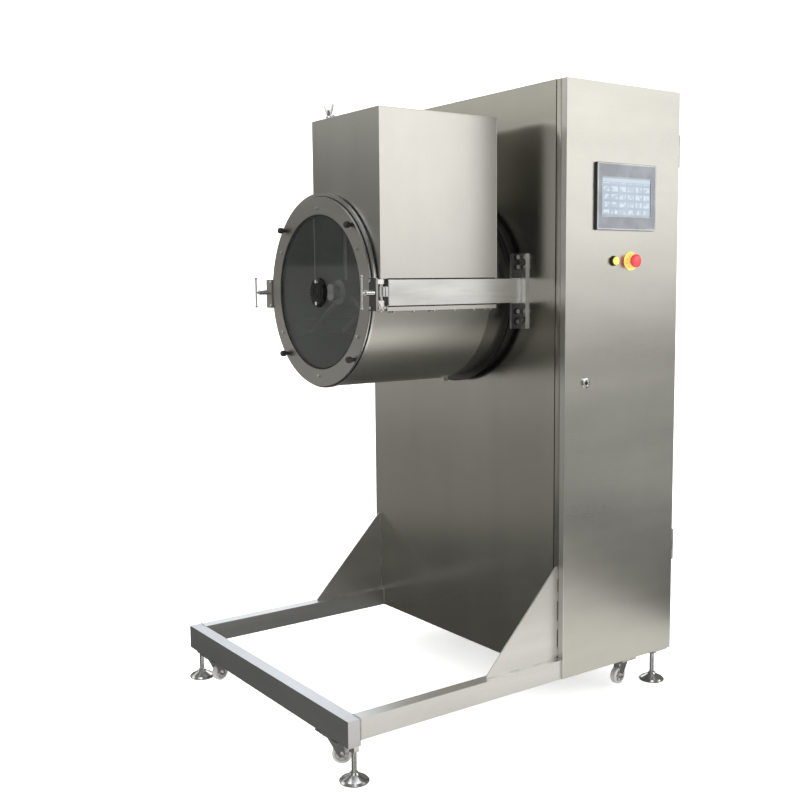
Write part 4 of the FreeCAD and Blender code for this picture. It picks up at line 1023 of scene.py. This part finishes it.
def cove():
    # round pale floor that curves up into a backdrop on all sides
    paint = Finish("studioPaper")
    tone = paint.noise(1.5, (1, 1, 1), 2.0, 0.5)
    pale = (studio["floorTone"],) * 3
    color = paint.blend(tone.ramp(0.2, 0.8), tint(pale, 0.99), pale)
    paint.set(Base_Color=color, Roughness=0.95, Specular_IOR_Level=0.1, Emission_Color=color,
              Emission_Strength=studio["floorGlow"])
    radius, steps, count = studio["coveRadius"], studio["coveSteps"], studio["coveSides"]
    reach = studio["floorRings"][-1]
    profile = [(distance, 0) for distance in studio["floorRings"]]
    profile += [(reach + radius * math.sin(a), radius - radius * math.cos(a))
                for a in [math.pi / 2 * i / steps for i in range(1, steps + 1)]]
    profile.append((reach + radius, studio["coveHeight"]))
    mesh = bmesh.new()
    middle = mesh.verts.new((0, 0, 0))
    rings = [[mesh.verts.new((d * math.cos(a), d * math.sin(a), h)) for a in turns(count)] for d, h in profile]
    for k in range(count):
        j = (k + 1) % count
        mesh.faces.new((middle, rings[0][k], rings[0][j]))
        for low, high in zip(rings, rings[1:]):
            mesh.faces.new((low[k], high[k], high[j], low[j]))
    data = bpy.data.meshes.new("studioCove")
    mesh.to_mesh(data)
    mesh.free()
    data.shade_smooth()
    made = bpy.data.objects.new("studioCove", data)
    made.data.materials.append(paint.material)
    bpy.context.scene.collection.objects.link(made)
    # the paper isn't mirrored in the steel, which stays as dark below as in a workshop
    made.visible_glossy = False


cove()

lights = {
    "rightSoftbox": {"place": (4.6, 3.3, 3.0), "aim": (0, 0, 1.2), "size": (5.0, 3.7), "power": 80,
                     "color": (1.0, 0.98, 0.94)},
    "rightCard": {"place": (4.4, 3.1, 0.62), "aim": (0, 0, 0.8), "size": (5.0, 1.2), "power": 4.4,
                  "color": (1.0, 0.99, 0.96)},
    "rightStrip": {"place": (2.35, 2.75, 0.05), "aim": (2.3, 2.7, 3.0), "size": (1.5, 0.16), "power": 1.3,
                   "color": (1.0, 0.99, 0.96)},
    "rightFloor": {"place": (3.9, 3.9, 0.03), "aim": (3.85, 3.85, 3.0), "size": (2.4, 3.0), "power": 3.6,
                   "color": (1.0, 0.98, 0.93)},
    "floorCard": {"place": (1.1, 0.05, 0.03), "aim": (1.05, 0.05, 3.0), "size": (2.0, 1.0), "power": 4.7,
                  "color": (1.0, 0.97, 0.9)},
    "sideFloor": {"place": (2.7, 0.75, 0.03), "aim": (2.65, 0.75, 3.0), "size": (1.5, 1.6), "power": 3.2,
                  "color": (1.0, 0.975, 0.92)},
    "leftSoftbox": {"place": (-4.4, -3.2, 3.5), "aim": (0, 0, 1.6), "size": (5.0, 2.0), "power": 30,
                    "color": (1.0, 0.985, 0.93)},
    "leftCard": {"place": (-4.4, -3.2, 0.82), "aim": (0, 0, 0.82), "size": (5.0, 1.3), "power": 8.5,
                 "color": (1.0, 0.995, 0.97)},
    "frontSoftbox": {"place": (4.2, -4.0, 1.9), "aim": (0, 0, 1.2), "size": (3.4, 2.6), "power": 26,
                     "color": (1.0, 0.99, 0.97)},
    "leftFloor": {"place": (-3.1, -2.45, 0.03), "aim": (-3.05, -2.4, 3.0), "size": (3.8, 3.8), "power": 10.2,
                  "color": (1.0, 0.975, 0.91)},
    "backSoftbox": {"place": (-4.2, 2.3, 2.7), "aim": (0, -0.6, 0.2), "size": (4.6, 2.6), "power": 50,
                    "color": (0.9, 0.96, 1.0)},
    "topSoftbox": {"place": (0.2, -0.4, 5.2), "aim": (0, 0, 0), "size": (4.5, 4.5), "power": 95,
                   "color": (0.96, 0.985, 1.0)},
    "paperLight": {"place": (-2.2, 1.6, 4.6), "aim": (-4.6, 3.4, 0.6), "size": (4.0, 4.0), "power": 120,
                   "color": (1.0, 1.0, 1.0)},
}
for name, light in lights.items():
    data = bpy.data.lights.new(name, "AREA")
    data.shape = "RECTANGLE"
    data.size, data.size_y = light["size"]
    data.energy = light["power"]
    data.color = light["color"]
    lamp = bpy.data.objects.new(name, data)
    lamp.location = light["place"]
    lamp.rotation_euler = (Vector(light["aim"]) - Vector(light["place"])).to_track_quat("-Z", "Y").to_euler()
    lamp.visible_camera = False
    bpy.context.scene.collection.objects.link(lamp)

world = bpy.data.worlds.new("studioAir")
world.use_nodes = True
world.node_tree.nodes["Background"].inputs["Color"].default_value = (*studio["world"], 1)
world.node_tree.nodes["Background"].inputs["Strength"].default_value = studio["worldStrength"]
bpy.context.scene.world = world
bpy.context.scene.view_settings.view_transform = "Standard"
print("studio lit")


# camera, solved from the photograph's straight edges

cameraLook = {"place": (2780.9, -2212.4, 1333.75), "ahead": (-0.8111, 0.5744, -0.1104), "roll": -0.55,
              "lens": 47.73, "sensor": 36, "reach": 60}


def photoCamera():
    data = bpy.data.cameras.new("photoCamera")
    data.lens = cameraLook["lens"]
    data.sensor_width = cameraLook["sensor"]
    data.clip_end = cameraLook["reach"]
    made = bpy.data.objects.new("photoCamera", data)
    ahead = Vector(cameraLook["ahead"]).normalized()
    right = ahead.cross(Vector((0, 0, 1))).normalized()
    up = right.cross(ahead)
    roll = math.radians(cameraLook["roll"])
    right, up = right * math.cos(roll) + up * math.sin(roll), up * math.cos(roll) - right * math.sin(roll)
    turn = Matrix((right, up, -ahead)).transposed().to_4x4()
    made.matrix_world = Matrix.Translation(at(*cameraLook["place"])) @ turn
    bpy.context.scene.collection.objects.link(made)
    bpy.context.scene.camera = made


photoCamera()
print("camera set")
